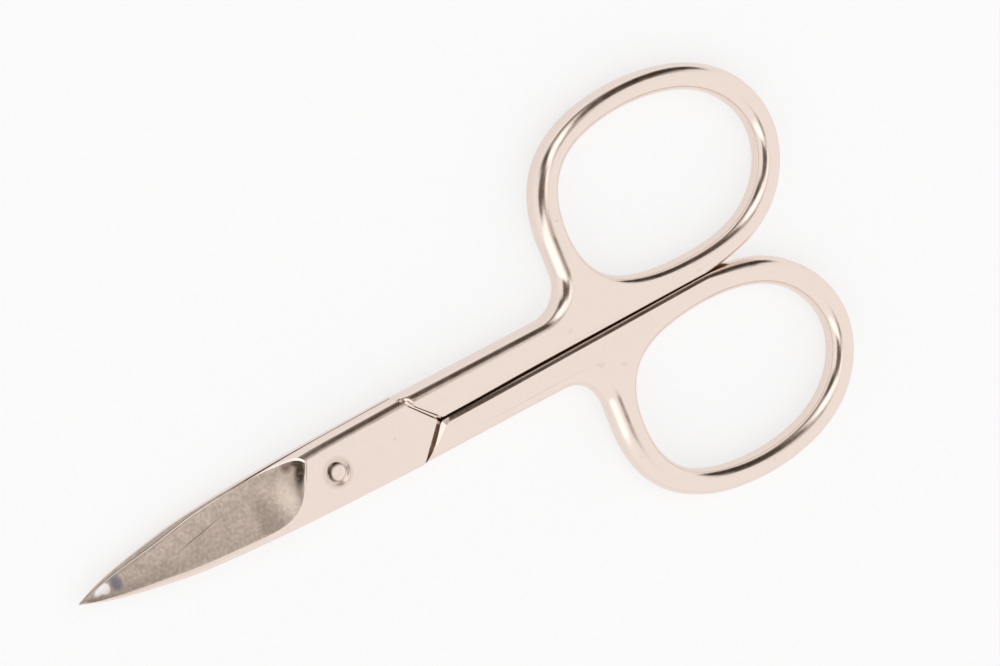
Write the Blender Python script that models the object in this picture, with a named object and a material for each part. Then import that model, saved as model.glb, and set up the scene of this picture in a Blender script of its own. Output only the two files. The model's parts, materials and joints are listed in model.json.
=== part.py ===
"""Straight nail scissors, lying closed on a flat surface: two forged halves lapped at a screw.

Sizes are millimetres, measured from the pivot: X runs from the blade tips (-X) to the bows (+X),
Y across and Z up. Both halves are the same forging, and one of them is turned over.
"""

import math

import bmesh
import bpy
import numpy as np
from mathutils import Matrix, Vector
from mathutils.geometry import tessellate_polygon

MM = 0.001

# Lengths along the scissors, from the pivot
BLADE_LENGTH = 29.4
PLATE_LENGTH = 12.2  # to the apex of the V where the joint plate meets the shanks
PLATE_V_LENGTH = 3.2  # how far the V's arms run back toward the blades
SHANK_LENGTH = 33.7  # to the finger hole

# Thickness
SHANK_THICKNESS = 3.2
BOW_END_THICKNESS = 2.8
PLATE_STEP = 0.12  # the joint plate lies this far below the shank's face
TIP_THICKNESS = 0.55
LAP_CLEARANCE = 0.06  # between the two inner faces

# Widths in plan
SHANK_WIDTH = 3.7
SHANK_GAP = 0.30  # between the shanks, beside the joint plate
BOW_GAP = 0.16  # between the bows, where they come closest
PLATE_HALF_WIDTH = 3.68  # at the pivot
SHOULDER_CLEARANCE = 0.28  # between a plate's end and the other half's shoulder

# Bows: a finger hole with a rounded rod around it
HOLE_LENGTH = 24.1
HOLE_WIDTH = 17.3
ROD_WIDTH = 2.78
ROD_WIDTH_AT_GAP = 2.67
ROD_WIDTH_AT_END = 2.92
ROD_WIDTH_AT_SHANK = 3.3
CROTCH_RADIUS = 3.6  # fillet between the shank and the bow

# Rounded edges: how far each reaches over the face
SHANK_ROUND = 1.12
SHANK_ROUND_SHARE = 0.94  # of the height from the cutting edge's land up to the plate
GAP_EDGE_ROUND = 0.4
GAP_EDGE_HEIGHT = 0.44
GAP_EDGE_RUN_OUT = 5.6  # along the bow, from where the bows come closest
ROD_ROUND = 1.25
ROD_ROUND_AT_SHANK = 1.9
ROD_ROUND_FALL = 4  # how soon the wider rounding ends around the bow
ROD_ROUND_SHARE = 0.85  # of the rod's half thickness
HOLE_ROUND_AT_WEB = 0.9
WEB_LEAN = 0.35  # how far the web's side of the hole leans toward the gap
SPINE_ROUND = 0.55
SPINE_ROUND_HEIGHT = 0.8
PLATE_END_ROUND = 0.12
PLATE_END_HEIGHT = 0.28
SHOULDER_BEVEL = 0.42
SHOULDER_CHAMFER = 0.9  # 0 is rounded, 1 a straight chamfer
SHOULDER_CORNER_RADIUS = 0.7
SHOULDER_START = 0.08  # share of the shoulder left plain below the shank's rounding
SHOULDER_EDGE_ROUND = 0.05

# Hollow-ground bevel of the blade
SCOOP_START = -9.5  # where the grinding wheel starts to lift out of the blade
HEEL = -2.65  # where the bevel ends on the plate's edge
SPINE_BAND = 0.85  # polished band left along the spine
SPINE_BAND_ROUNDED = 0.8  # the most of that band that the spine's rounding takes
BAND_TAPER = 6
TIP_ROUNDNESS = 12
WHEEL_RUN_OUT = 2.2
EDGE_LAND_HEIGHT = 0.12
EDGE_LAND_WIDTH = 0.08
BEVEL_HOLLOW = 1.35
HEEL_HOLLOW = 2.4
INNER_HOLLOW = 0.10

# Ground step between the joint plate and the shank, from the plate's end to the shoulder's line:
# share of that distance, share of the rise, depth of the groove there
STEP_SHAPE = [
    (-0.35, 0.0, 0.0), (-0.22, 0.0, 0.07), (-0.1, 0.05, 0.0),
    (0.77, 0.95, 0.0), (0.88, 1.0, 0.07), (1.0, 1.0, 0.0),
]
STEP_RUN_OUT = 0.3  # how far the step's corner spreads the shank's rounding
STEP_REACH = 1.8  # how far along the shank that rounding still follows the step's direction

# Pivot screw: slotted head at the back, peened end at the front
SCREW_RADIUS = 1.0
SCREW_HEAD_RADIUS = 1.95
SCREW_HEAD_RIM = 0.15
SCREW_SLOT_WIDTH = 0.5
SCREW_SLOT_DEPTH = 0.45
SCREW_SLOT_TURN = math.radians(35)
RUNNING_CLEARANCE = 0.04
THREAD_CLEARANCE = 0.02
NUB_HEIGHT = 0.09  # the peened end's crown above the joint plate
NUB_EDGE_DROP = 0.17  # from the crown to the rim of the peened end
NUB_RECESS_RADIUS = 1.55
NUB_RECESS_DEPTH = 0.1

# Outlines of the closed blades: share of the way to the tip, share of the plate's half width
SPINE_SHAPE = [
    (0.0, 1.0), (0.17, 0.96), (0.34, 0.9), (0.51, 0.815), (0.6, 0.745),
    (0.68, 0.645), (0.765, 0.525), (0.85, 0.385), (0.92, 0.235), (1.0, 0.0),
]
EDGE_SHAPE = [
    (0.0, 1.0), (0.17, 0.94), (0.34, 0.86), (0.51, 0.74),
    (0.68, 0.505), (0.85, 0.295), (0.92, 0.165), (1.0, 0.0),
]
# The scoop at the bevel's heel: share of its length, share of the plate's half width
SCOOP_SHAPE = [(0.22, -0.68), (0.51, -0.57), (0.715, -0.31), (0.86, 0.12), (0.965, 0.515)]
# Finger hole, in shares of its half length and half width
HOLE_SHAPE = [
    (1.0, 0.0), (0.65, 0.77), (-0.06, 1.0), (-0.75, 0.76),
    (-1.0, 0.0), (-0.765, -0.78), (-0.085, -1.0), (0.61, -0.83),
]
# Width of the rod around the hole, by the direction in degrees that its outside faces
ROD_SHAPE = [
    (-90, ROD_WIDTH_AT_GAP), (-70, ROD_WIDTH_AT_END), (45, ROD_WIDTH_AT_END),
    (80, ROD_WIDTH), (120, ROD_WIDTH), (180, ROD_WIDTH_AT_SHANK),
]

NICKEL = (0.78, 0.74, 0.70)

# Facets
ROUND_STEPS = 5
CROTCH_STEPS = 8
CORNER_STEPS = 5
HOLE_POINTS = 80
BLADE_STATIONS = 19
SCOOP_STATIONS = 5
PLATE_STATIONS = 6
SHOULDER_STATIONS = 3
SHANK_STATIONS = 8
BEVEL_STEPS = 5
BORE_POINTS = 36
CURVE_SAMPLES = 400
CROWN_STEPS = 6
BAND_KNOTS = 4  # of the straight polished band, that lead its edge into the scoop
WELD_DISTANCE = 5e-4
SMOOTH_ANGLE = math.radians(32)

# Worked out from the sizes above
SHANK_TOP = SHANK_THICKNESS / 2
PLATE_TOP = SHANK_TOP - PLATE_STEP
INNER_FACE = LAP_CLEARANCE / 2
EDGE_Z = INNER_FACE + EDGE_LAND_HEIGHT
SHANK_ROUND_HEIGHT = SHANK_ROUND_SHARE * (PLATE_TOP - EDGE_Z)
SHANK_OUTER = SHANK_GAP / 2 + SHANK_WIDTH
HOLE_CENTRE = np.array([
    SHANK_LENGTH + HOLE_LENGTH / 2,
    BOW_GAP / 2 + ROD_WIDTH_AT_GAP + HOLE_WIDTH / 2,
])
BOW_END = SHANK_LENGTH + HOLE_LENGTH + ROD_WIDTH_AT_END
ARM_X = PLATE_LENGTH - PLATE_V_LENGTH
ARM_LENGTH = math.hypot(PLATE_V_LENGTH, SHANK_WIDTH)
ARM_SLANT = PLATE_V_LENGTH / SHANK_WIDTH
SHOULDER_SHIFT = SHOULDER_CLEARANCE * ARM_LENGTH / SHANK_WIDTH
SHOULDER_X = ARM_X + SHOULDER_SHIFT
STEP_START = ARM_X + STEP_SHAPE[0][0] * SHOULDER_SHIFT
PIVOT_X = (BLADE_LENGTH - BOW_END) / 2


def spline(knots, count, closed=False):
    """Points along the natural, or closed, cubic spline through the knots."""
    knots = np.array(knots, float)
    if closed:
        knots = np.vstack([knots, knots[:1]])
    steps = np.linalg.norm(np.diff(knots, axis=0), axis=1)
    last = len(knots) - 1
    matrix = np.eye(last + 1)
    right = np.zeros_like(knots)
    slopes = np.diff(knots, axis=0) / steps[:, None]
    for i in range(0 if closed else 1, last):
        matrix[i, i] = 2 * (steps[i - 1] + steps[i])
        matrix[i, i + 1] = steps[i]
        matrix[i, (i - 1) % last] += steps[i - 1]
        right[i] = 6 * (slopes[i] - slopes[i - 1])
    if closed:
        matrix[last, 0] = -1
    bends = np.linalg.solve(matrix, right)
    ends = np.concatenate([[0], np.cumsum(steps)])
    places = np.linspace(0, ends[-1], count, endpoint=not closed)
    found = np.clip(np.searchsorted(ends, places, side="right") - 1, 0, last - 1)
    size = steps[found][:, None]
    after = (places - ends[found])[:, None] / size
    before = 1 - after
    straight = before * knots[found] + after * knots[found + 1]
    curved = (before**3 - before) * bends[found] + (after**3 - after) * bends[found + 1]
    return straight + curved * size**2 / 6


def blade_half_width(shape, x):
    """Distance of the spine or the cutting edge from the axis, beside the point x."""
    curve = spline(shape, CURVE_SAMPLES)
    widths = np.interp(-np.asarray(x, float) / BLADE_LENGTH, curve[:, 0], curve[:, 1])
    joint = np.clip(np.asarray(x, float) / STEP_START, 0, 1)
    return PLATE_HALF_WIDTH * widths + (SHANK_OUTER - PLATE_HALF_WIDTH) * joint


def blade_thickness_share(x):
    """1 on the joint plate, falling along the blade and to 0 at the very tip."""
    along = (np.asarray(x, float) - SCOOP_START) / (-BLADE_LENGTH - SCOOP_START)
    along = np.clip(along, 0, 1)
    tip_share = (TIP_THICKNESS - INNER_FACE) / (PLATE_TOP - INNER_FACE)
    return (1 - (1 - tip_share) * along) * np.sqrt(1 - along**TIP_ROUNDNESS)


def blade_top(x):
    return INNER_FACE + (PLATE_TOP - INNER_FACE) * blade_thickness_share(x)


def face_height(x):
    """Height of the shank's and bow's face, which falls toward the bow's far end."""
    along = np.clip((np.asarray(x) - SHANK_LENGTH) / (BOW_END - SHANK_LENGTH), 0, 1)
    return SHANK_TOP - (SHANK_THICKNESS - BOW_END_THICKNESS) / 2 * along


def outline(xy, width, height, top):
    """Rows of x, y, rounding before and after the point, its height, face height, chamfer, slant."""
    rows = np.zeros((len(xy), 8))
    rows[:, :2] = xy
    rows[:, 2] = width
    rows[:, 3] = width
    rows[:, 4] = height
    rows[:, 5] = top
    return rows


def joined(*sections):
    """One outline from several, each ending on the next one's first point."""
    rows = sections[0].copy()
    for section in sections[1:]:
        rows[-1, 3] = section[0, 3]
        rows = np.vstack([rows, section[1:]])
    return rows


def inset(rows, share, closed):
    """The outline moved inward by a share of its rounding for each point, mitred at its corners."""
    points = rows[:, :2]
    edges = np.roll(points, -1, axis=0) - points
    if not closed:
        edges[-1] = edges[-2]
    inward = np.stack([-edges[:, 1], edges[:, 0]], axis=1)
    inward /= np.linalg.norm(inward, axis=1)[:, None]
    before = np.roll(inward, 1, axis=0)
    if not closed:
        before[0] = inward[0]
    moved = points.copy()
    for i, (first, second) in enumerate(zip(before, inward)):
        near = share[i] * rows[i, 2]
        far = share[i] * rows[i, 3]
        turn = first[0] * second[1] - first[1] * second[0]
        if abs(turn) < 1e-3:
            moved[i] += (first + second) * (near + far) / 4
        else:
            moved[i, 0] += (near * second[1] - far * first[1]) / turn
            moved[i, 1] += (far * first[0] - near * second[0]) / turn
    moved[:, 0] += rows[:, 7] * share * rows[:, 2]
    return moved


def rounded_rows(rows, closed=False, side=1):
    """Rows of points from the flank, over the rounded or chamfered edge, to the face."""
    chamfer = rows[:, 6]
    built = []
    for step in range(ROUND_STEPS + 1):
        angle = math.pi / 2 * step / ROUND_STEPS
        straight = chamfer * step / ROUND_STEPS
        plan = inset(rows, (1 - chamfer) * (1 - math.cos(angle)) + straight, closed)
        risen = (1 - chamfer) * math.sin(angle) + straight
        height = rows[:, 5] - rows[:, 4] * (1 - risen)
        built.append(np.column_stack([plan, side * height]))
    return built


def level(points, z):
    return np.column_stack([points[:, :2], np.full(len(points), z)])


def add_grid(bm, rows, closed=False):
    """Quads between neighbouring rows of points."""
    made = [[bm.verts.new(point) for point in row] for row in rows]
    for low, high in zip(made, made[1:]):
        for i in range(len(low) if closed else len(low) - 1):
            j = (i + 1) % len(low)
            bm.faces.new((low[i], low[j], high[j], high[i]))


def add_face(bm, *loops):
    """A nearly flat face inside the first loop, with the other loops as its holes."""
    made = [bm.verts.new(point) for loop in loops for point in loop]
    flat = [[Vector((point[0], point[1], 0)) for point in loop] for loop in loops]
    for triangle in tessellate_polygon(flat):
        bm.faces.new([made[i] for i in triangle])


def circle(radius, z):
    angles = np.linspace(0, 2 * math.pi, BORE_POINTS, endpoint=False)
    heights = np.full(BORE_POINTS, z)
    return np.column_stack([radius * np.cos(angles), radius * np.sin(angles), heights])


def finger_hole():
    """The finger hole's outline, anticlockwise from its far end, and its outward normals."""
    half = np.array([HOLE_LENGTH, HOLE_WIDTH]) / 2
    points = HOLE_CENTRE + spline(HOLE_SHAPE, HOLE_POINTS, closed=True) * half
    along = np.roll(points, -1, axis=0) - np.roll(points, 1, axis=0)
    outward = np.stack([along[:, 1], -along[:, 0]], axis=1)
    return points, outward / np.linalg.norm(outward, axis=1)[:, None]


def hole_rows():
    """The finger hole as an edge of the metal, in the hole's own order."""
    points, outward = finger_hole()
    web = np.clip(-outward[:, 0] - WEB_LEAN * outward[:, 1], 0, 1)
    width = ROD_ROUND + (HOLE_ROUND_AT_WEB - ROD_ROUND) * web
    top = face_height(points[:, 0])
    return outline(points, width, ROD_ROUND_SHARE * top, top)


def bow_rows():
    """Outer outline of the bow from the gap to the crotch, and the hole's points beside it."""
    points, outward = finger_hole()
    facing = np.degrees(np.arctan2(outward[:, 1], outward[:, 0]))
    rod = np.interp(facing, *zip(*ROD_SHAPE), period=360)
    outer = points + outward * rod[:, None]
    near = np.clip(-outward[:, 0], 0, 1) ** ROD_ROUND_FALL
    order = (int(np.argmin(outer[:, 1])) + np.arange(HOLE_POINTS)) % HOLE_POINTS
    order = order[:int(np.argmin(outer[order, 0])) + 1]
    outer = outer[order]

    off_gap = np.clip((outer[:, 0] - outer[0, 0]) / GAP_EDGE_RUN_OUT, 0, 1)
    off_gap[int(np.argmax(outer[:, 0])):] = 1
    width = GAP_EDGE_ROUND + (ROD_ROUND - GAP_EDGE_ROUND) * off_gap
    width += (ROD_ROUND_AT_SHANK - ROD_ROUND) * near[order]
    top = face_height(outer[:, 0])
    height = GAP_EDGE_HEIGHT + (ROD_ROUND_SHARE * top - GAP_EDGE_HEIGHT) * off_gap
    ring = outline(outer, width, height, top)

    turns = np.linspace(0, math.pi / 2, CROTCH_STEPS + 1)
    centre = np.array([outer[-1, 0] - CROTCH_RADIUS, SHANK_OUTER + CROTCH_RADIUS])
    arc = centre + CROTCH_RADIUS * np.column_stack([np.cos(turns), -np.sin(turns)])
    blend = (1 - np.cos(2 * turns)) / 2
    width = ROD_ROUND_AT_SHANK + (SHANK_ROUND - ROD_ROUND_AT_SHANK) * blend
    height = ROD_ROUND_SHARE * SHANK_TOP
    height = height + (SHANK_ROUND_HEIGHT - height) * blend
    return np.vstack([ring, outline(arc, width, height, SHANK_TOP)]), order


def shank_rows(foot):
    """Gap edge from the shoulder's foot, bow, outer edge back; where the bow starts; its hole."""
    bow, order = bow_rows()
    gap_x = np.array([foot, SHANK_LENGTH, bow[0, 0]])
    gap_y = np.interp(gap_x, [foot, bow[0, 0]], [SHANK_GAP / 2, bow[0, 1]])
    gap = outline(np.column_stack([gap_x, gap_y]), GAP_EDGE_ROUND, GAP_EDGE_HEIGHT, SHANK_TOP)
    gap[:, 5] = face_height(gap_x)
    nearer = np.linspace(1, 0, SHANK_STATIONS) ** 2
    outer_x = SHOULDER_X + (bow[-1, 0] - SHOULDER_X) * nearer
    outer_xy = np.column_stack([outer_x, np.full(len(outer_x), SHANK_OUTER)])
    outer = outline(outer_xy, SHANK_ROUND, SHANK_ROUND_HEIGHT, SHANK_TOP)
    return joined(gap, bow, outer), len(gap) - 1, order


def spine_band(x):
    """Width of the polished band between the spine and the bevel."""
    return SPINE_BAND * (1 - (x / BLADE_LENGTH) ** BAND_TAPER)


def spine_rows():
    """The blade's spine from the tip to the scoop."""
    x = np.linspace(-BLADE_LENGTH, SCOOP_START, BLADE_STATIONS)
    xy = np.column_stack([x, -blade_half_width(SPINE_SHAPE, x)])
    share = blade_thickness_share(x)
    width = np.minimum(SPINE_ROUND * share, SPINE_BAND_ROUNDED * spine_band(x))
    return outline(xy, width, SPINE_ROUND_HEIGHT * share, blade_top(x))


def plate_rows():
    """The plate's outer edge beside the spine, and its slanted end up to the shanks' gap."""
    x = np.linspace(SCOOP_START, ARM_X, PLATE_STATIONS)
    xy = np.column_stack([x, -blade_half_width(SPINE_SHAPE, x)])
    side = outline(xy, SPINE_ROUND, SPINE_ROUND_HEIGHT, PLATE_TOP)
    apex_x = STEP_START + PLATE_V_LENGTH + SHANK_GAP * ARM_SLANT
    apex = np.array([apex_x, SHANK_GAP / 2])
    end = outline(np.array([xy[-1], apex]), PLATE_END_ROUND, PLATE_END_HEIGHT, PLATE_TOP)
    end[-1, 3] = PLATE_END_ROUND * ARM_LENGTH / PLATE_V_LENGTH / 2
    return joined(side, end)


def step_rows(start, end, width, height):
    """Points between the plate and the shank along an edge, dipping where the step was ground."""
    first = STEP_SHAPE[0][0]
    rows = []
    for along, rise, groove in STEP_SHAPE:
        xy = start + (end - start) * (along - first) / (1 - first)
        top = PLATE_TOP + PLATE_STEP * rise - groove
        rows.append(outline([xy], width, height, top)[0])
    return np.array(rows)


def shoulder_rows():
    """The shoulder that the other half's plate closes against, down to its rounded corner."""
    start = np.array([SHOULDER_X, SHANK_OUTER])
    slope = math.atan2(SHANK_WIDTH, PLATE_V_LENGTH)
    apex = start + np.array([PLATE_V_LENGTH, -SHANK_WIDTH])
    reach = SHOULDER_CORNER_RADIUS * math.tan(slope / 2)
    centre = apex + np.array([reach, SHOULDER_CORNER_RADIUS])
    turns = np.linspace(-math.pi / 2 - slope, -math.pi / 2, CORNER_STEPS)
    corner = centre + SHOULDER_CORNER_RADIUS * np.column_stack([np.cos(turns), np.sin(turns)])
    past_rounding = SHANK_ROUND / SHANK_WIDTH + SHOULDER_START
    along = np.array([0, *np.linspace(past_rounding, 1, SHOULDER_STATIONS)])[:-1, None]
    xy = np.vstack([start + (corner[0] - start) * along, corner])
    widening = np.clip((along[:, 0] - past_rounding) / (1 - past_rounding), 0, 1)
    share = np.concatenate([widening, np.ones(len(corner))])
    width = SHOULDER_EDGE_ROUND + (SHOULDER_BEVEL - SHOULDER_EDGE_ROUND) * share
    rows = outline(xy, width, GAP_EDGE_HEIGHT * width / SHOULDER_BEVEL, SHANK_TOP)
    rows[0, 2] = SHANK_ROUND
    rows[0, 4] = SHANK_ROUND_HEIGHT
    rows[1:, 6] = SHOULDER_CHAMFER
    return rows


def heel_rail():
    """Where the ground bevel breaks out over the plate's rounded edge: a point for each row."""
    rail = []
    for step in range(ROUND_STEPS + 1):
        angle = math.pi / 2 * step / ROUND_STEPS
        z = PLATE_TOP - SHANK_ROUND_HEIGHT * (1 - math.sin(angle))
        x = HEEL + WHEEL_RUN_OUT * math.log((z - EDGE_Z) / (PLATE_TOP - EDGE_Z))
        y = blade_half_width(EDGE_SHAPE, x) - SHANK_ROUND * (1 - math.cos(angle))
        rail.append((x, y, z))
    return np.array(rail)


def plate_edge_rows(heel, corner):
    """The plate's rounded edge from its corner to the heel, a row for each point of the heel."""
    rows = []
    for (x, y, z), start in zip(heel, corner):
        along = np.linspace(start[0], x, PLATE_STATIONS)
        across = blade_half_width(EDGE_SHAPE, along) + y - blade_half_width(EDGE_SHAPE, x)
        row = np.column_stack([along, across, np.full(len(along), z)])
        row[0] = start
        rows.append(row)
    return rows


def edge_rows(heel):
    """The cutting edge on the inner face, and the top of the land above it, tip to heel."""
    blade = np.linspace(-BLADE_LENGTH, SCOOP_START, BLADE_STATIONS)
    scoop = np.linspace(SCOOP_START, heel[0, 0], SCOOP_STATIONS + 1)[1:]
    x = np.concatenate([blade, scoop])
    y = blade_half_width(EDGE_SHAPE, x)
    share = blade_thickness_share(x)
    rise = (PLATE_TOP - EDGE_Z) * np.exp((x - HEEL) / WHEEL_RUN_OUT)
    land = EDGE_LAND_WIDTH * share * np.clip(1 - rise / (heel[0, 2] - EDGE_Z), 0, 1)
    lower = np.column_stack([x, y, np.full(len(x), INNER_FACE)])
    upper = np.column_stack([x, y - land, INNER_FACE + (EDGE_LAND_HEIGHT + rise) * share])
    upper[-1] = heel[0]
    return lower, upper


def crease_row(spine, heel):
    """Where the ground bevel meets the polished faces, from the tip to the heel."""
    straight = np.column_stack([spine[:, 0], spine[:, 1] + spine_band(spine[:, 0])])
    scoop = [
        (SCOOP_START + (HEEL - SCOOP_START) * along, PLATE_HALF_WIDTH * across)
        for along, across in SCOOP_SHAPE
    ]
    curve = spline([*straight[1 - 2 * BAND_KNOTS::2], *scoop, heel[-1, :2]], CURVE_SAMPLES)
    start = int(np.linalg.norm(curve - straight[-1], axis=1).argmin())
    curve = np.vstack([straight[-1], curve[start + 1:]])
    steps = np.linalg.norm(np.diff(curve, axis=0), axis=1)
    lengths = np.concatenate([[0], np.cumsum(steps)])
    places = np.linspace(0, lengths[-1], SCOOP_STATIONS + len(heel))[1:]
    around = np.column_stack([np.interp(places, lengths, curve[:, i]) for i in range(2)])
    plan = np.vstack([straight, around])
    return np.column_stack([plan, blade_top(plan[:, 0])])


def bevel_rows(rail, crease):
    """The hollow-ground surface, from the cutting edge to the crease."""
    heelward = (np.arange(len(rail)) - BLADE_STATIONS + 1) / (len(rail) - BLADE_STATIONS)
    power = BEVEL_HOLLOW + (HEEL_HOLLOW - BEVEL_HOLLOW) * np.clip(heelward, 0, 1)
    rows = []
    for across in np.linspace(0, 1, BEVEL_STEPS + 1):
        row = rail + (crease - rail) * across
        row[:, 2] = rail[:, 2] + (crease - rail)[:, 2] * across**power
        rows.append(row)
    return rows


def add_bow_faces(bm, rows, hole, bow_start, order, first, last):
    """One side of the bow: its finger hole's edge, the face of its rod, and the web and shank."""
    around = order[0] - np.arange((order[0] - order[-1]) % HOLE_POINTS + 1)
    add_grid(bm, hole, closed=True)
    add_grid(bm, [rows[-1][bow_start:bow_start + len(order)], hole[-1][order]])
    web = [
        *rows[-1][first:bow_start + 1], *hole[-1][around],
        *rows[-1][bow_start + len(order) - 1:last],
    ]
    add_face(bm, web)


def add_blade(bm, spine, spine_low, edge_low, rail, crease):
    """The blade up to the scoop: hollow-ground bevel, polished band and hollow inner face."""
    scoop = BLADE_STATIONS
    add_grid(bm, bevel_rows(rail, crease))
    add_grid(bm, [edge_low, rail[:len(edge_low)]])
    add_grid(bm, [crease[:scoop], spine[:scoop]])
    middle = (edge_low[:scoop] + spine_low[:scoop]) / 2
    middle[:, 2] += INNER_HOLLOW * np.sin(np.linspace(0, math.pi, scoop))
    add_grid(bm, [edge_low[:scoop], middle, spine_low[:scoop]])
    return middle[-1]


def add_blade_and_plate(bm, upper, shoulder, foot, bore):
    """The half-thickness blade and joint plate, with the pivot hole through them."""
    heel = heel_rail()
    plate_edge = plate_edge_rows(heel, [row[-1] for row in upper])
    edge_low, edge_high = edge_rows(heel)
    rail = np.vstack([edge_high, heel[1:]])
    crease = crease_row(upper[0][:BLADE_STATIONS], heel)
    spine_low = level(upper[0], INNER_FACE)[:foot + 1]
    scoop = BLADE_STATIONS - 1
    steps = len(STEP_SHAPE)

    middle = add_blade(bm, upper[-1], spine_low, edge_low, rail, crease)
    add_grid(bm, [level(plate_edge[0], INNER_FACE), *plate_edge])
    rings = [circle(radius, z) for radius, z in bore]
    add_grid(bm, rings, closed=True)
    face = [*upper[-1][scoop:foot - steps + 2], *plate_edge[-1], *crease[scoop:-1][::-1]]
    add_face(bm, face, rings[0])
    near = upper[-1][foot - steps + 1:foot + 1]
    far = upper[-1][-steps:][::-1]
    add_grid(bm, [near, far])
    inner = [
        *spine_low[scoop:], *level(shoulder[-2::-1], INNER_FACE),
        *level(upper[0][1 - steps:-1], INNER_FACE),
        *level(plate_edge[0], INNER_FACE), *edge_low[scoop:-1][::-1], middle,
    ]
    add_face(bm, inner, rings[-1])


def slant_along_step(rows, foot, back_start):
    """The step runs on over the rounded edges in its own direction, and its run-out with it."""
    gap = rows[foot - len(STEP_SHAPE) + 2:back_start]
    gap[:, 7] = -ARM_SLANT * np.exp(-np.clip(gap[:, 0] - rows[foot, 0], 0, None))
    back = rows[back_start:]
    off_step = np.clip(back[:, 0] - SHOULDER_X, 0, None)
    back[:, 7] = ARM_SLANT * np.exp(-off_step / STEP_REACH)
    up_step = np.clip((back[:, 0] - STEP_START) / (SHOULDER_X - STEP_START), 0, 1)
    back[:, 2:4] += STEP_RUN_OUT * (np.exp(-off_step / STEP_RUN_OUT) * up_step)[:, None]


def slant_along_shoulder(rows, back_start):
    """Beside the shoulder, the shank's rounding runs out along the shoulder's own direction."""
    back = rows[back_start:]
    slant = ARM_SLANT + SHOULDER_EDGE_ROUND * ARM_LENGTH / SHANK_WIDTH / SHANK_ROUND
    back[:, 7] = slant * np.exp((SHOULDER_X - back[:, 0]) / STEP_REACH)


def half_mesh(name, bore):
    """One forging, with its inner face down."""
    shoulder = shoulder_rows()
    shank, bow_start, order = shank_rows(shoulder[-1, 0])
    blade_and_plate = joined(spine_rows(), plate_rows())
    gap_edge = step_rows(blade_and_plate[-1, :2], shank[0, :2], GAP_EDGE_ROUND, GAP_EDGE_HEIGHT)
    corner = np.array([STEP_START, SHANK_OUTER])
    outer_edge = step_rows(corner, shank[-1, :2], SHANK_ROUND, SHANK_ROUND_HEIGHT)[::-1]
    rows = np.vstack([blade_and_plate, gap_edge[1:-1], shank, outer_edge[1:]])
    foot = len(blade_and_plate) + len(STEP_SHAPE) - 2
    slant_along_step(rows, foot, foot + bow_start + len(order))
    upper = rounded_rows(rows)
    below = joined(shoulder, shank)[:-1]
    low_start = len(shoulder) - 1 + bow_start
    slant_along_shoulder(below, low_start + len(order))
    lower = rounded_rows(below, closed=True, side=-1)
    hole_upper = [row[::-1] for row in rounded_rows(hole_rows()[::-1], closed=True)]
    hole_lower = [row[::-1] for row in rounded_rows(hole_rows()[::-1], closed=True, side=-1)]

    bm = bmesh.new()
    add_grid(bm, [level(upper[0], INNER_FACE), *upper])
    add_grid(bm, [level(lower[0], INNER_FACE), *lower], closed=True)
    add_grid(bm, [hole_upper[0], hole_lower[0]], closed=True)
    last = len(rows) - len(STEP_SHAPE) + 1
    add_bow_faces(bm, upper, hole_upper, foot + bow_start, order, foot, last)
    add_bow_faces(bm, lower, hole_lower, low_start, order, 0, len(below))
    add_blade_and_plate(bm, upper, lower[0][:len(shoulder)], foot, bore)
    return mesh_from(bm, name)


def mesh_from(bm, name):
    """The welded mesh in metres, smooth except where its faces meet at an angle."""
    bmesh.ops.remove_doubles(bm, verts=bm.verts, dist=WELD_DISTANCE)
    bmesh.ops.dissolve_degenerate(bm, edges=bm.edges, dist=WELD_DISTANCE)
    bmesh.ops.recalc_face_normals(bm, faces=bm.faces)
    bmesh.ops.scale(bm, vec=(MM, MM, MM), verts=bm.verts)
    mesh = bpy.data.meshes.new(name)
    bm.to_mesh(mesh)
    bm.free()
    mesh.shade_smooth()
    mesh.set_sharp_from_angle(angle=SMOOTH_ANGLE)
    return mesh


def front_bore():
    """Rings of the tapped hole, from the shallow recess around the peened end."""
    floor = PLATE_TOP - NUB_RECESS_DEPTH
    radius = SCREW_RADIUS + THREAD_CLEARANCE
    recess = [(NUB_RECESS_RADIUS, PLATE_TOP), (NUB_RECESS_RADIUS, floor)]
    return [*recess, (radius, floor), (radius, INNER_FACE)]


def back_bore():
    """Rings of the countersunk running hole, parallel to the screw's head."""
    head = SCREW_HEAD_RADIUS + RUNNING_CLEARANCE
    radius = SCREW_RADIUS + RUNNING_CLEARANCE
    rim = PLATE_TOP - SCREW_HEAD_RIM - RUNNING_CLEARANCE * (math.sqrt(2) - 1)
    return [(head, PLATE_TOP), (head, rim), (radius, rim - (head - radius)), (radius, INNER_FACE)]


def screw_mesh(name):
    """The screw turned from its profile: peened crown at the front, countersunk head behind."""
    turns = np.linspace(0, math.pi / 2, CROWN_STEPS + 1)
    crown_z = PLATE_TOP + NUB_HEIGHT - NUB_EDGE_DROP * (1 - np.cos(turns))
    profile = list(zip(SCREW_RADIUS * np.sin(turns), crown_z))
    cone = PLATE_TOP - SCREW_HEAD_RIM
    profile.append((SCREW_RADIUS, -cone + SCREW_HEAD_RADIUS - SCREW_RADIUS))
    profile.append((SCREW_HEAD_RADIUS, -cone))
    profile.append((SCREW_HEAD_RADIUS, -PLATE_TOP))
    profile.append((0, -PLATE_TOP))
    bm = bmesh.new()
    verts = [bm.verts.new((radius, 0, z)) for radius, z in profile]
    edges = [bm.edges.new(pair) for pair in zip(verts, verts[1:])]
    bmesh.ops.spin(
        bm, geom=[*verts, *edges], cent=(0, 0, 0), axis=(0, 0, 1),
        angle=2 * math.pi, steps=BORE_POINTS,
    )
    return mesh_from(bm, name)


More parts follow.
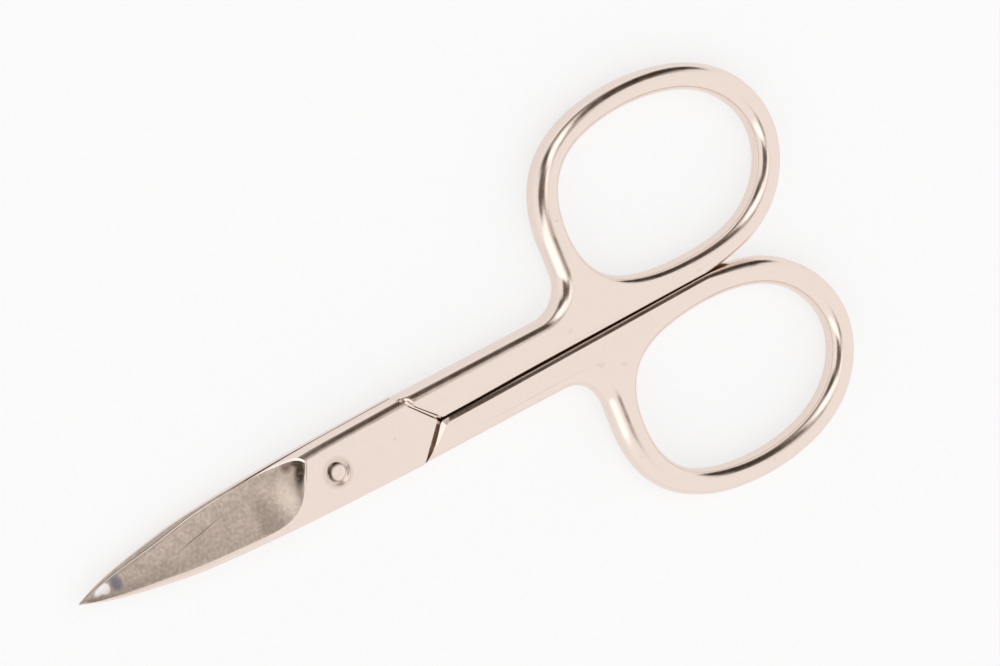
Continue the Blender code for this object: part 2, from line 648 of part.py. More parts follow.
def slot_cutter():
    """A bar as wide as the driver slot, hidden, that the Boolean takes out of the head."""
    bm = bmesh.new()
    bmesh.ops.create_cube(bm, size=1)
    size = (4 * SCREW_HEAD_RADIUS, SCREW_SLOT_WIDTH, 2 * SCREW_SLOT_DEPTH)
    bmesh.ops.scale(bm, vec=size, verts=bm.verts)
    bmesh.ops.rotate(
        bm, verts=bm.verts, matrix=Matrix.Rotation(SCREW_SLOT_TURN, 3, "Z"), cent=(0, 0, 0)
    )
    bmesh.ops.translate(bm, vec=(0, 0, -PLATE_TOP), verts=bm.verts)
    cutter = add_object("screw_slot_cutter", mesh_from(bm, "screw_slot_cutter"))
    cutter.hide_render = True
    cutter.display_type = "WIRE"
    return cutter


def metal(name, colour, roughness):
    """A plain metal, with its colour and roughness."""
    material = bpy.data.materials.new(name)
    material.use_nodes = True
    shader = material.node_tree.nodes["Principled BSDF"]
    shader.inputs["Base Color"].default_value = (*colour, 1)
    shader.inputs["Metallic"].default_value = 1
    shader.inputs["Roughness"].default_value = roughness
    return material


def add_object(name, mesh):
    """An object whose origin is on the pivot's axis, at the lap between the halves."""
    obj = bpy.data.objects.new(name, mesh)
    bpy.context.scene.collection.objects.link(obj)
    obj.location = (PIVOT_X * MM, 0, SHANK_TOP * MM)
    return obj


def main():
    for obj in list(bpy.data.objects):
        bpy.data.objects.remove(obj)

    front = add_object("front_half", half_mesh("front_half", front_bore()))
    front.data.materials.append(metal("front_nickel_plated_steel", NICKEL, 0.22))
    back = add_object("back_half", half_mesh("back_half", back_bore()))
    back.rotation_euler = (math.pi, 0, 0)
    back.data.materials.append(metal("back_nickel_plated_steel", NICKEL, 0.22))

    screw = add_object("pivot_screw", screw_mesh("pivot_screw"))
    screw.data.materials.append(metal("screw_nickel_plated_steel", NICKEL, 0.3))
    slot = screw.modifiers.new("driver_slot", "BOOLEAN")
    slot.object = slot_cutter()
    slot.operation = "DIFFERENCE"
    slot.solver = "EXACT"
    screw.parent = front
    screw.location = (0, 0, 0)


main()
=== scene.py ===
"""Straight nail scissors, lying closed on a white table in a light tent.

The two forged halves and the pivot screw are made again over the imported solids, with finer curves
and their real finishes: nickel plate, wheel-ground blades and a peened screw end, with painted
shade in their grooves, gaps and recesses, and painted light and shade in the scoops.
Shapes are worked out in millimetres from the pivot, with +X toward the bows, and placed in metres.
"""

import json
import math

import bmesh
import bpy
import numpy as np
from mathutils import Euler, Matrix, Vector
from mathutils.geometry import tessellate_polygon


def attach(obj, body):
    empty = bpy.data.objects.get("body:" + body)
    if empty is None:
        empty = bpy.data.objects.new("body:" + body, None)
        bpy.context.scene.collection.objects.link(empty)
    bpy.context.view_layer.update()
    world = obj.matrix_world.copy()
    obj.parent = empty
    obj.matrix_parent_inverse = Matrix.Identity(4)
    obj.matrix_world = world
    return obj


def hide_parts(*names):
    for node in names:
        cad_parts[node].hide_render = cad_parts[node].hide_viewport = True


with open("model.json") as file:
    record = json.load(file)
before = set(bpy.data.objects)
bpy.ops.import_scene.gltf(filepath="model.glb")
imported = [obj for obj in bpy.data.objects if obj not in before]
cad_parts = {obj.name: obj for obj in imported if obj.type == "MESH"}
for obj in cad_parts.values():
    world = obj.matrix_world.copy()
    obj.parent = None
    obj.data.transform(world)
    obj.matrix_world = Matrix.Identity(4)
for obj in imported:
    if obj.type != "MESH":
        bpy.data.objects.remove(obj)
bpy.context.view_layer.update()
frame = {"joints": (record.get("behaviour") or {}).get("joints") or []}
PIVOT = Vector(frame["joints"][0]["pos_m"])

bl_info = {
    "name": "Nail Scissors",
    "version": (1, 0, 0),
    "blender": (4, 5, 0),
    "location": "3D View > Sidebar > Scissors",
    "description": "Dresses a pair of nail scissors: two forged halves, the pivot screw, a studio",
    "category": "Add Mesh",
}

MM = 0.001

# Lengths along the scissors, from the pivot
BLADE_LENGTH = 29.4
PLATE_LENGTH = 12.2
PLATE_V_LENGTH = 3.2
SHANK_LENGTH = 33.7

# Thickness
SHANK_THICKNESS = 3.2
BOW_END_THICKNESS = 2.8
PLATE_STEP = 0.12
TIP_THICKNESS = 0.55
LAP_CLEARANCE = 0.06

# Widths in plan
SHANK_WIDTH = 3.7
SHANK_GAP = 0.30
BOW_GAP = 0.16
SHANK_HOLLOW = 0.015
PLATE_HALF_WIDTH = 3.68
SHOULDER_CLEARANCE = 0.22

# Bows
HOLE_LENGTH = 24.1
HOLE_WIDTH = 17.3
ROD_WIDTH = 2.78
ROD_WIDTH_AT_GAP = 2.67
ROD_WIDTH_AT_END = 2.92
ROD_WIDTH_AT_SHANK = 3.3
CROTCH_RADIUS = 3.6

# Rounded edges: how far each reaches over the face, and its height
SHANK_ROUND = 1.12
SHANK_ROUND_HEIGHT = 1.25
ROD_ROUND = 1.25
ROD_ROUND_AT_SHANK = 1.9
ROD_ROUND_SHARE = 0.85  # of the height from the lap to the face
SHANK_SIDE_POWER = 4  # how closely the rod's wider rounding keeps to the side of the shank
HOLE_ROUND_AT_WEB = 0.9
WEB_LEAN = 0.35  # how far the narrower rounding at the web reaches round toward the gap
SPINE_ROUND = 0.55
SPINE_ROUND_HEIGHT = 0.8
PLATE_END_ROUND = 0.05
PLATE_END_HEIGHT = 0.28

# Edges beside the gap between the shanks. A chamfer is the share of the edge that is straight
GAP_EDGE_ROUND = 0.44
GAP_EDGE_HEIGHT = 0.2
GAP_EDGE_CHAMFER = 0.85
GAP_EDGE_RUN = 2 * ROD_WIDTH  # how far along the bow the worn edge fades into its rounding
WORN_EDGE_REACH = (15, 24)  # where the wear starts along the gap, and is whole
WORN_EDGE_HEIGHT = 0.3
WORN_EDGE_CHAMFER = 0.5

# Shoulder, and the step beside it
SHOULDER_BEVEL = 0.6
SHOULDER_BEVEL_HEIGHT = 0.13
SHOULDER_CHAMFER = 0.9
SHOULDER_CORNER_RADIUS = 0.72
SHOULDER_START = 0.08
SHOULDER_EDGE_ROUND = 0.05
FACET_RUN_OUT = (0.4, 0.55)  # where the facet is still nearly whole past the foot, and gone
FACET_FADE = 0.75
STEP_RUN_OUT = 0.3
STEP_REACH = 1.8

# Hollow-ground bevel of the blade
SCOOP_START = -9.5
HEEL = -2.65
SPINE_BAND = 0.85
SPINE_BAND_ROUNDED = 0.8
SPINE_BAND_POWER = 4  # how late the band narrows toward the tip
TIP_POWER = 12  # how late the blade thins to its very point
WHEEL_RUN_OUT = 2.2
EDGE_LAND_HEIGHT = 0.12
EDGE_LAND_WIDTH = 0.09
BEVEL_HOLLOW = 1.35
HEEL_HOLLOW = 2.4
INNER_HOLLOW = 0.10
RIM_WIDTH = 0.27
RIM_LEAST = 0.02
RIM_MOST = 0.3  # share of the bevel's width
RIM_DROP = 0.02
RIM_DIP = 0.05
RIM_DIP_MOST = 1 / 3  # share of the bevel's height

# Pivot screw
SCREW_RADIUS = 1.0
SCREW_HEAD_RADIUS = 1.95
SCREW_HEAD_RIM = 0.15
SCREW_SLOT_WIDTH = 0.5
SCREW_SLOT_DEPTH = 0.45
SCREW_SLOT_TURN = math.radians(35)
RUNNING_CLEARANCE = 0.04
THREAD_CLEARANCE = 0.02
NUB_HEIGHT = 0.09
NUB_EDGE_DROP = 0.17
NUB_RECESS_RADIUS = 1.55
NUB_RECESS_DEPTH = 0.1
NUB_FLAT_SHARE = 0.45
HEAD_EDGE_BREAK = 0.08

# Outlines. The blade's, as shares of its length from the pivot and of the plate's half width
SPINE_SHAPE = [
    (0.0, 1.0), (0.17, 0.96), (0.34, 0.9), (0.51, 0.815), (0.6, 0.745),
    (0.68, 0.645), (0.765, 0.525), (0.85, 0.385), (0.92, 0.235), (1.0, 0.0),
]
EDGE_SHAPE = [
    (0.0, 1.0), (0.17, 0.94), (0.34, 0.86), (0.51, 0.74),
    (0.68, 0.505), (0.85, 0.295), (0.92, 0.165), (1.0, 0.0),
]
# The scoop's, as shares of its length and of the plate's half width
SCOOP_SHAPE = [(0.22, -0.68), (0.51, -0.57), (0.715, -0.31), (0.86, 0.12), (0.965, 0.515)]
# The finger hole's, as shares of its half length and half width
HOLE_SHAPE = [
    (1.0, 0.0), (0.65, 0.77), (-0.06, 1.0), (-0.75, 0.76),
    (-1.0, 0.0), (-0.765, -0.78), (-0.085, -1.0), (0.61, -0.83),
]
# Width of the rod round the hole, by the direction in degrees that its side faces
ROD_SHAPE = [
    (-90, ROD_WIDTH_AT_GAP), (-70, ROD_WIDTH_AT_END), (45, ROD_WIDTH_AT_END),
    (80, ROD_WIDTH), (120, ROD_WIDTH), (180, ROD_WIDTH_AT_SHANK),
]

# Mesh fineness
ROUND_STEPS = 14
FLAT_MARGIN = 1.04  # a last narrow row on the flat keeps the shading of the face even
CROTCH_STEPS = 24
HOLE_POINTS = 240
BLADE_STATIONS = 60
SCOOP_STATIONS = 16
BEVEL_STEPS = 24
TOP_RIM_START = 16  # stations of the scoop where its buffed rims start and are whole
TOP_RIM_WHOLE = 18
SIDE_RIM_START = 20
SIDE_RIM_WHOLE = 25
CREASE_GUIDES = slice(-22, None, 7)  # stations that lead the straight crease into the scoop
INNER_STEPS = 8
SHANK_STATIONS = 30
SHANK_CROWDING = 1.5  # how much closer the outer edge's stations lie toward the shoulder
PLATE_STATIONS = 14
PLATE_EDGE_STATIONS = 12
HEEL_MARGIN = 0.01
SHOULDER_STATIONS = 9
SHOULDER_CORNER_STEPS = 12
RECESS_STEPS = 8
CROWN_STEPS = 32
BORE_POINTS = 96
CURVE_SAMPLES = 800
WELD_DISTANCE = 5e-4
SMOOTH_ANGLE = math.radians(30)
# Sine of the turn at a corner that counts as straight, and as slight; widths that count as equal
STRAIGHT_TURN = 1e-3
SLIGHT_TURN = 0.5
SAME_WIDTH = 1e-6

# The last two slots are painted shade: dark in grooves and corners, and between the shanks
PLATE, GROUND, HONED, CORNER_SHADE, SLIT_SHADE = 0, 1, 2, 3, 4  # material slots of a half

# Marks on the metal, real ones and painted shade and light: place from the pivot, half its length
# and width in millimetres, share of it that fades, degrees it is turned, and its strength or its
# colour
# Painted shade: the plate darkened over the shallow recess round the peened end
NUB_RECESS_SHADE = (0.1, -0.1, 1.03 * NUB_RECESS_RADIUS, 1.03 * NUB_RECESS_RADIUS, 0.3, 0, 0.7)
# A thin dark line painted on the plate along the scoop's end
PLATE_DARK_LINE = (-2.88, 1.6, 0.045, 1.15, 0.9, -24, 0.7)
RIM_SHADOW = (0, 0, 0.96, 0.96, 0.12)
RIM_SHADOW_INNER = (0.2, -0.17, 0.84, 0.84, 0.3)
GRINDING_MARKS_AND_SCOOP_SHADE = [
    (-25.15, 0.25, 0.6, 0.7, 0.8, 0, "85828C"),
    (-26.42, 0.22, 0.5, 0.54, 0.3, 0, "FFFCFA"),
    (-26.8, 0.27, 0.85, 0.37, 0.4, 14, "FFFCFA"),
    (-15.5, 0.65, 2.6, 0.045, 0.9, 12, "85766B"),
    # Painted light and shade of the scoop: a lighter patch in it, darker spots in its upper corner
    (-4.95, 0.0, 1.4, 1.8, 1.1, 0, "E8D8CA"),
    (-4.5, 2.7, 0.5, 0.5, 1.1, 0, "8A746C"),
    (-3.5, 1.7, 0.45, 1.5, 0.9, -23, "56473D"),
    (-3.45, 2.75, 0.6, 0.42, 0.9, -20, "56473D"),
]

# How far the meeting line of this pair lies off the axis: place along it, offset; and how far
# from the axis the offset is whole, and gone
MEETING_LINE = [(4, 0), (9, -0.3), (11.5, -0.36), (13, -0.28), (20, -0.23), (30, -0.1), (45, 0.08)]
MEETING_REACH = (1.9, 3.3)

# The stage, in metres and degrees
TABLE_SIZE = 8.0
TABLE_DROP = 2e-5
TABLE_GLOW = 1.06
CAMERA_SENSOR = 36  # millimetres
CAMERA_NEAR = 0.01
CAMERA_PLACE = (-0.131008, 0.091707, 0.341045)
CAMERA_TURN = (-3.5071, -25.4665, -24.1567)
# What stands in the light tent, seen from the scissors: azimuth and angle from overhead of its
# middle, half its width and height, in degrees, share of it that fades, brightness, colour
TENT_SPOTS = [
    (90, 65, 34, 9, 0.9, 1.0, "8A8077"),
    (154, 27, 24, 21, 0.4, 1.0, "665C53"),
    (122, 53, 12, 13, 0.6, 1.0, "3E362F"),
    (14, 18, 9, 4, 0.9, 1.0, "9A9087"),
    (48, 37, 15, 15, 0.5, 1.0, "5A5047"),
    (62, 52, 11, 15, 0.6, 1.0, "4E453C"),
    (44, 63, 15, 19, 0.4, 1.0, "3A322B"),
    (262, 13, 9, 5, 0.8, 1.0, "8A8077"),
    (40, 5, 8, 8, 0.6, 1.35, "FFFFFF"),
    (94, 27, 12, 16, 0.35, 1.5, "FFFFFF"),
    (197, 42, 9, 27, 0.4, 1.5, "FFFFFF"),
]

SHANK_TOP = SHANK_THICKNESS / 2
PLATE_TOP = SHANK_TOP - PLATE_STEP
INNER_FACE = LAP_CLEARANCE / 2
EDGE_Z = INNER_FACE + EDGE_LAND_HEIGHT
SHANK_OUTER = SHANK_GAP / 2 + SHANK_WIDTH
HOLE_CENTRE = np.array([
    SHANK_LENGTH + HOLE_LENGTH / 2,
    BOW_GAP / 2 + ROD_WIDTH_AT_GAP + HOLE_WIDTH / 2,
])
BOW_END = SHANK_LENGTH + HOLE_LENGTH + ROD_WIDTH_AT_END
ARM_X = PLATE_LENGTH - PLATE_V_LENGTH
ARM_LENGTH = math.hypot(PLATE_V_LENGTH, SHANK_WIDTH)
SHOULDER_SHIFT = SHOULDER_CLEARANCE * ARM_LENGTH / SHANK_WIDTH

# The ground step between plate and shank: place along it, share of its rise, height beside that
STEP_SHAPE = [
    (-1.0, 0.0, 0.0), (-0.7, 0.0, -0.12), (-0.35, 0.05, 0.0),
    (0.4, 0.95, 0.0), (0.7, 1.0, -0.1), (1.0, 1.0, 0.0),
]
STEP_GROOVES = (0, 1, 3, 4)
# The painted shade on the dull plate between the shanks: its reach over their edges, how squarely a
# face looks across
SLIT_EDGE = 0.12
SLIT_FACING = 0.93
STEP_START = ARM_X + STEP_SHAPE[0][0] * SHOULDER_SHIFT
ARM_SLANT = PLATE_V_LENGTH / SHANK_WIDTH


def hex_colour(code):
    """An sRGB hex code as a linear colour."""
    shares = [int(code[i:i + 2], 16) / 255 for i in (0, 2, 4)]
    return tuple(c / 12.92 if c <= 0.04045 else ((c + 0.055) / 1.055) ** 2.4 for c in shares)


def colour_setting(name, description, code):
    return bpy.props.FloatVectorProperty(
        name=name, description=description,
        subtype="COLOR", size=3, min=0, max=1, default=hex_colour(code),
    )


def share_setting(name, description, default):
    return bpy.props.FloatProperty(
        name=name, description=description, min=0, max=1, default=default
    )


class FinishSettings(bpy.types.PropertyGroup):
    """Colours and roughness of the metal."""

    nickel: colour_setting("Nickel plate", "Colour of the buffed nickel plate", "EEDDD3")
    nickel_roughness: share_setting(
        "Plate roughness", "Roughness of the buffed nickel plate", 0.16
    )
    ground: colour_setting("Ground steel", "Colour of the wheel-ground blade faces", "CAB9AC")
    ground_roughness: share_setting(
        "Ground roughness", "Roughness of the wheel-ground blade faces", 0.36
    )


class StageSettings(bpy.types.PropertyGroup):
    """The table, the light tent and the camera."""

    table: colour_setting("Table", "Colour of the white table", "FAFAFA")
    tent_light: bpy.props.FloatProperty(
        name="Tent light", description="Brightness of the light tent",
        min=0, default=1.0,
    )
    table_lift: share_setting(
        "Table lift", "Share of plain white in the table as the eye sees it", 0.65
    )
    lens: bpy.props.FloatProperty(
        name="Lens", description="Focal length of the camera",
        unit="CAMERA", default=131.79,
    )


def ramp(value, start, end):
    """0 up to the start and 1 from the end on, rising evenly between; the end may be the lower."""
    return np.clip((np.asarray(value, float) - start) / (end - start), 0, 1)


def between(first, last, share):
    """The first value at a share of 0, the last one at 1, and evenly from one to the other."""
    return first + (last - first) * share


def arc(centre, radius, turns):
    return centre + radius * np.column_stack([np.cos(turns), np.sin(turns)])


def level(points, z):
    return np.column_stack([points[:, :2], np.full(len(points), z)])


def spline(knots, count, closed=False):
    """Points along the natural, or closed, cubic spline through the knots."""
    knots = np.array(knots, float)
    if closed:
        knots = np.vstack([knots, knots[:1]])
    steps = np.linalg.norm(np.diff(knots, axis=0), axis=1)
    last = len(knots) - 1
    matrix = np.eye(last + 1)
    right = np.zeros_like(knots)
    slopes = np.diff(knots, axis=0) / steps[:, None]
    for i in range(0 if closed else 1, last):
        matrix[i, i] = 2 * (steps[i - 1] + steps[i])
        matrix[i, i + 1] = steps[i]
        matrix[i, (i - 1) % last] += steps[i - 1]
        right[i] = 6 * (slopes[i] - slopes[i - 1])
    if closed:
        matrix[last, 0] = -1
    bends = np.linalg.solve(matrix, right)
    ends = np.concatenate([[0], np.cumsum(steps)])
    places = np.linspace(0, ends[-1], count, endpoint=not closed)
    found = np.clip(np.searchsorted(ends, places, side="right") - 1, 0, last - 1)
    size = steps[found][:, None]
    after = (places - ends[found])[:, None] / size
    before = 1 - after
    straight = before * knots[found] + after * knots[found + 1]
    curved = (before**3 - before) * bends[found] + (after**3 - after) * bends[found + 1]
    return straight + curved * size**2 / 6


def blade_half_width(shape, x):
    """Distance of the spine or the cutting edge from the axis, beside the point x."""
    curve = spline(shape, CURVE_SAMPLES)
    widths = np.interp(-np.asarray(x, float) / BLADE_LENGTH, curve[:, 0], curve[:, 1])
    widening = (SHANK_OUTER - PLATE_HALF_WIDTH) * ramp(x, 0, STEP_START)
    return PLATE_HALF_WIDTH * widths + widening


def blade_thickness_share(x):
    """1 on the joint plate, falling along the blade and to 0 at the very tip."""
    along = ramp(x, SCOOP_START, -BLADE_LENGTH)
    tip_share = (TIP_THICKNESS - INNER_FACE) / (PLATE_TOP - INNER_FACE)
    return (1 - (1 - tip_share) * along) * np.sqrt(1 - along**TIP_POWER)


def blade_top(x):
    return between(INNER_FACE, PLATE_TOP, blade_thickness_share(x))


def face_height(x):
    """Height of the shank's and bow's face, which falls toward the bow's far end."""
    fall = (SHANK_THICKNESS - BOW_END_THICKNESS) / 2
    return SHANK_TOP - fall * ramp(x, SHANK_LENGTH, BOW_END)


def outline(xy, width, height, top):
    """Rows of x, y, rounding before and after the point, its height, face height, chamfer, slant."""
    rows = np.zeros((len(xy), 8))
    rows[:, :2] = xy
    rows[:, 2] = width
    rows[:, 3] = width
    rows[:, 4] = height
    rows[:, 5] = top
    return rows


def joined(*sections):
    """One outline from several, each ending on the next one's first point."""
    rows = sections[0].copy()
    for section in sections[1:]:
        rows[-1, 3] = section[0, 3]
        rows = np.vstack([rows, section[1:]])
    return rows


def inset(rows, share, closed):
    """The outline moved inward by a share of its rounding, mitred at its corners."""
    points = rows[:, :2]
    edges = np.roll(points, -1, axis=0) - points
    if not closed:
        edges[-1] = edges[-2]
    inward = np.stack([-edges[:, 1], edges[:, 0]], axis=1)
    inward /= np.linalg.norm(inward, axis=1)[:, None]
    before = np.roll(inward, 1, axis=0)
    if not closed:
        before[0] = inward[0]
    moved = points.copy()
    for i, (first, second) in enumerate(zip(before, inward)):
        near = share[i] * rows[i, 2]
        far = share[i] * rows[i, 3]
        turn = first[0] * second[1] - first[1] * second[0]
        even = abs(near - far) < SAME_WIDTH and abs(turn) < SLIGHT_TURN
        if even or abs(turn) < STRAIGHT_TURN:
            bisector = (first + second) / (1 + first @ second)
            moved[i] += bisector * (near + far) / 2
        else:
            moved[i, 0] += (near * second[1] - far * first[1]) / turn
            moved[i, 1] += (far * first[0] - near * second[0]) / turn
    moved[:, 0] += rows[:, 7] * share * rows[:, 2]
    return moved


def rounded_rows(rows, closed=False, side=1):
    """Rows of points from the flank, over the rounded edge, to the upper or lower face."""
    built = []
    for step in range(ROUND_STEPS + 1):
        angle = math.pi / 2 * step / ROUND_STEPS
        straight = rows[:, 6] * (step / ROUND_STEPS)
        plan = inset(rows, (1 - rows[:, 6]) * (1 - math.cos(angle)) + straight, closed)
        fall = (1 - rows[:, 6]) * math.sin(angle) + straight
        height = rows[:, 5] - rows[:, 4] * (1 - fall)
        built.append(np.column_stack([plan, side * height]))
    flat = np.full(len(rows), FLAT_MARGIN)
    built.append(np.column_stack([inset(rows, flat, closed), side * rows[:, 5]]))
    return built


def at_meeting_line(rows, way):
    """Rows of points near the axis moved off it, those of the outer edges kept in place.

    The way is 1, or -1 for the half that is turned over afterwards.
    """
    whole, gone = MEETING_REACH
    moved = []
    for row in rows:
        offset = np.interp(row[:, 0], *zip(*MEETING_LINE))
        share = ramp(np.abs(row[:, 1]), gone, whole)
        offset *= way * share**2 * (3 - 2 * share)
        moved.append(np.column_stack([row[:, 0], row[:, 1] + offset, row[:, 2]]))
    return moved


def add_grid(bm, rows, closed=False, slot=PLATE):
    """Quads between neighbouring rows of points."""
    made = [[bm.verts.new(point) for point in row] for row in rows]
    for low, high in zip(made, made[1:]):
        for i in range(len(low) if closed else len(low) - 1):
            j = (i + 1) % len(low)
            bm.faces.new((low[i], low[j], high[j], high[i])).material_index = slot


def add_face(bm, *loops, slot=PLATE):
    """A nearly flat face inside the first loop, with the other loops as its holes."""
    made = [bm.verts.new(point) for loop in loops for point in loop]
    flat = [[Vector((point[0], point[1], 0)) for point in loop] for loop in loops]
    for triangle in tessellate_polygon(flat):
        bm.faces.new([made[i] for i in triangle]).material_index = slot


def circle(radius, z):
    turns = np.linspace(0, 2 * math.pi, BORE_POINTS, endpoint=False)
    return level(arc((0, 0), radius, turns), z)


def finger_hole():
    """The finger hole's outline, anticlockwise from its far end, and its outward normals."""
    half = np.array([HOLE_LENGTH, HOLE_WIDTH]) / 2
    points = HOLE_CENTRE + spline(HOLE_SHAPE, HOLE_POINTS, closed=True) * half
    along = np.roll(points, -1, axis=0) - np.roll(points, 1, axis=0)
    outward = np.stack([along[:, 1], -along[:, 0]], axis=1)
    return points, outward / np.linalg.norm(outward, axis=1)[:, None]


def hole_rows():
    """The finger hole as an edge of the metal, in the hole's own order."""
    points, outward = finger_hole()
    web = np.clip(-outward[:, 0] - WEB_LEAN * outward[:, 1], 0, 1)
    width = between(ROD_ROUND, HOLE_ROUND_AT_WEB, web)
    top = face_height(points[:, 0])
    return outline(points, width, ROD_ROUND_SHARE * top, top)


def bow_rows():
    """Outer outline of the bow from the gap to the crotch, and the hole's points beside it."""
    points, outward = finger_hole()
    facing = np.degrees(np.arctan2(outward[:, 1], outward[:, 0]))
    rod = np.interp(facing, *zip(*ROD_SHAPE), period=360)
    outer = points + outward * rod[:, None]
    near = np.clip(-outward[:, 0], 0, 1) ** SHANK_SIDE_POWER
    order = (int(np.argmin(outer[:, 1])) + np.arange(HOLE_POINTS)) % HOLE_POINTS
    order = order[:int(np.argmin(outer[order, 0])) + 1]
    outer = outer[order]

    off_gap = ramp(outer[:, 0] - outer[0, 0], 0, GAP_EDGE_RUN)
    off_gap[int(np.argmax(outer[:, 0])):] = 1
    width = between(GAP_EDGE_ROUND, ROD_ROUND, off_gap)
    width += (ROD_ROUND_AT_SHANK - ROD_ROUND) * near[order]
    top = face_height(outer[:, 0])
    height = between(WORN_EDGE_HEIGHT, ROD_ROUND_SHARE * top, off_gap)
    ring = outline(outer, width, height, top)
    ring[:, 6] = WORN_EDGE_CHAMFER * (1 - off_gap)

    turns = np.linspace(0, math.pi / 2, CROTCH_STEPS + 1)
    centre = np.array([outer[-1, 0] - CROTCH_RADIUS, SHANK_OUTER + CROTCH_RADIUS])
    crotch = arc(centre, CROTCH_RADIUS, -turns)
    share = (1 - np.cos(2 * turns)) / 2
    width = between(ROD_ROUND_AT_SHANK, SHANK_ROUND, share)
    height = between(ROD_ROUND_SHARE * SHANK_TOP, SHANK_ROUND_HEIGHT, share)
    return np.vstack([ring, outline(crotch, width, height, SHANK_TOP)]), order


def shank_rows(foot):
    """Gap edge from the shoulder's foot, bow, outer edge back; where the bow starts; its hole."""
    bow, order = bow_rows()
    gap_x = np.linspace(foot, bow[0, 0], SHANK_STATIONS)
    gap_x = np.insert(gap_x, 1, foot + np.array(FACET_RUN_OUT))
    along = (gap_x - foot) / (bow[0, 0] - foot)
    gap_y = between(SHANK_GAP / 2, bow[0, 1], along) + SHANK_HOLLOW * np.sin(math.pi * along)
    gap = outline(np.column_stack([gap_x, gap_y]), GAP_EDGE_ROUND, GAP_EDGE_HEIGHT, SHANK_TOP)
    gap[:, 5] = face_height(gap_x)
    worn = ramp(gap_x, *WORN_EDGE_REACH)
    gap[:, 4] = between(GAP_EDGE_HEIGHT, WORN_EDGE_HEIGHT, worn)
    gap[:, 6] = between(GAP_EDGE_CHAMFER, WORN_EDGE_CHAMFER, worn)
    gap[1, 2:4] = FACET_FADE * SHOULDER_BEVEL
    gap[1, 4] = FACET_FADE * SHOULDER_BEVEL_HEIGHT
    reach = bow[-1, 0] - ARM_X - SHOULDER_SHIFT
    along = np.linspace(1, 0, SHANK_STATIONS) ** SHANK_CROWDING
    outer_y = SHANK_OUTER - SHANK_HOLLOW * np.sin(math.pi * along)
    outer_xy = np.column_stack([ARM_X + SHOULDER_SHIFT + reach * along, outer_y])
    outer = outline(outer_xy, SHANK_ROUND, SHANK_ROUND_HEIGHT, SHANK_TOP)
    return joined(gap, bow, outer), len(gap) - 1, order


def spine_band(x):
    """Width of the polished band between the spine and the bevel."""
    return SPINE_BAND * (1 - np.abs(x / BLADE_LENGTH) ** SPINE_BAND_POWER)


def spine_rows():
    """The blade's spine from the tip to the scoop."""
    x = np.linspace(-BLADE_LENGTH, SCOOP_START, BLADE_STATIONS)
    xy = np.column_stack([x, -blade_half_width(SPINE_SHAPE, x)])
    share = blade_thickness_share(x)
    width = np.minimum(SPINE_ROUND * share, SPINE_BAND_ROUNDED * spine_band(x))
    return outline(xy, width, SPINE_ROUND_HEIGHT * share, blade_top(x))


def plate_rows():
    """The plate's outer edge beside the spine, and its slanted end up to the shanks' gap."""
    x = np.linspace(SCOOP_START, ARM_X, PLATE_STATIONS)
    xy = np.column_stack([x, -blade_half_width(SPINE_SHAPE, x)])
    side = outline(xy, SPINE_ROUND, SPINE_ROUND_HEIGHT, PLATE_TOP)
    apex = np.array([PLATE_LENGTH + SHANK_GAP * PLATE_V_LENGTH / SHANK_WIDTH, SHANK_GAP / 2])
    apex[0] += STEP_SHAPE[0][0] * SHOULDER_SHIFT
    end = outline(np.array([xy[-1], apex]), PLATE_END_ROUND, PLATE_END_HEIGHT, PLATE_TOP)
    end[-1, 3] = PLATE_END_ROUND * ARM_LENGTH / PLATE_V_LENGTH / 2
    return joined(side, end)


def step_rows(start, end, width, height):
    """Points between the plate and the shank along an edge, dipping where the step was ground."""
    rows = []
    for along, rise, dip in STEP_SHAPE:
        xy = start + (end - start) * (along - STEP_SHAPE[0][0]) / (1 - STEP_SHAPE[0][0])
        top = PLATE_TOP + PLATE_STEP * rise + dip
        rows.append(outline([xy], width, height, top)[0])
    return np.array(rows)


def shoulder_rows():
    """The shoulder that the other half's plate closes against, down to its rounded corner."""
    start = np.array([ARM_X + SHOULDER_SHIFT, SHANK_OUTER])
    slope = math.atan2(SHANK_WIDTH, PLATE_V_LENGTH)
    apex = start + np.array([PLATE_V_LENGTH, -SHANK_WIDTH])
    reach = SHOULDER_CORNER_RADIUS * math.tan(slope / 2)
    centre = apex + np.array([reach, SHOULDER_CORNER_RADIUS])
    turns = np.linspace(-math.pi / 2 - slope, -math.pi / 2, SHOULDER_CORNER_STEPS + 1)
    corner = arc(centre, SHOULDER_CORNER_RADIUS, turns)
    past_rounding = SHANK_ROUND / SHANK_WIDTH + SHOULDER_START
    along = np.array([0, *np.linspace(past_rounding, 1, SHOULDER_STATIONS)])[:-1, None]
    xy = np.vstack([between(start, corner[0], along), corner])
    share = np.concatenate([ramp(along[:, 0], past_rounding, 1), np.ones(len(corner))])
    width = between(SHOULDER_EDGE_ROUND, SHOULDER_BEVEL, share)
    rows = outline(xy, width, SHOULDER_BEVEL_HEIGHT * width / SHOULDER_BEVEL, SHANK_TOP)
    rows[0, 2] = SHANK_ROUND
    rows[0, 4] = SHANK_ROUND_HEIGHT
    rows[1:, 6] = SHOULDER_CHAMFER
    return rows


def heel_rail():
    """Where the ground bevel breaks out over the plate's rounded edge: a point for each row."""
    rail = []
    for step in range(ROUND_STEPS + 1):
        angle = math.pi / 2 * step / ROUND_STEPS
        z = PLATE_TOP - SHANK_ROUND_HEIGHT * (1 - math.sin(angle))
        x = HEEL + WHEEL_RUN_OUT * math.log((z - EDGE_Z) / (PLATE_TOP - EDGE_Z))
        y = blade_half_width(EDGE_SHAPE, x) - SHANK_ROUND * (1 - math.cos(angle))
        rail.append((x, y, z))
    x, y, z = rail[-1]
    rail.append((x - HEEL_MARGIN, y - SHANK_ROUND * (FLAT_MARGIN - 1), z))
    return np.array(rail)


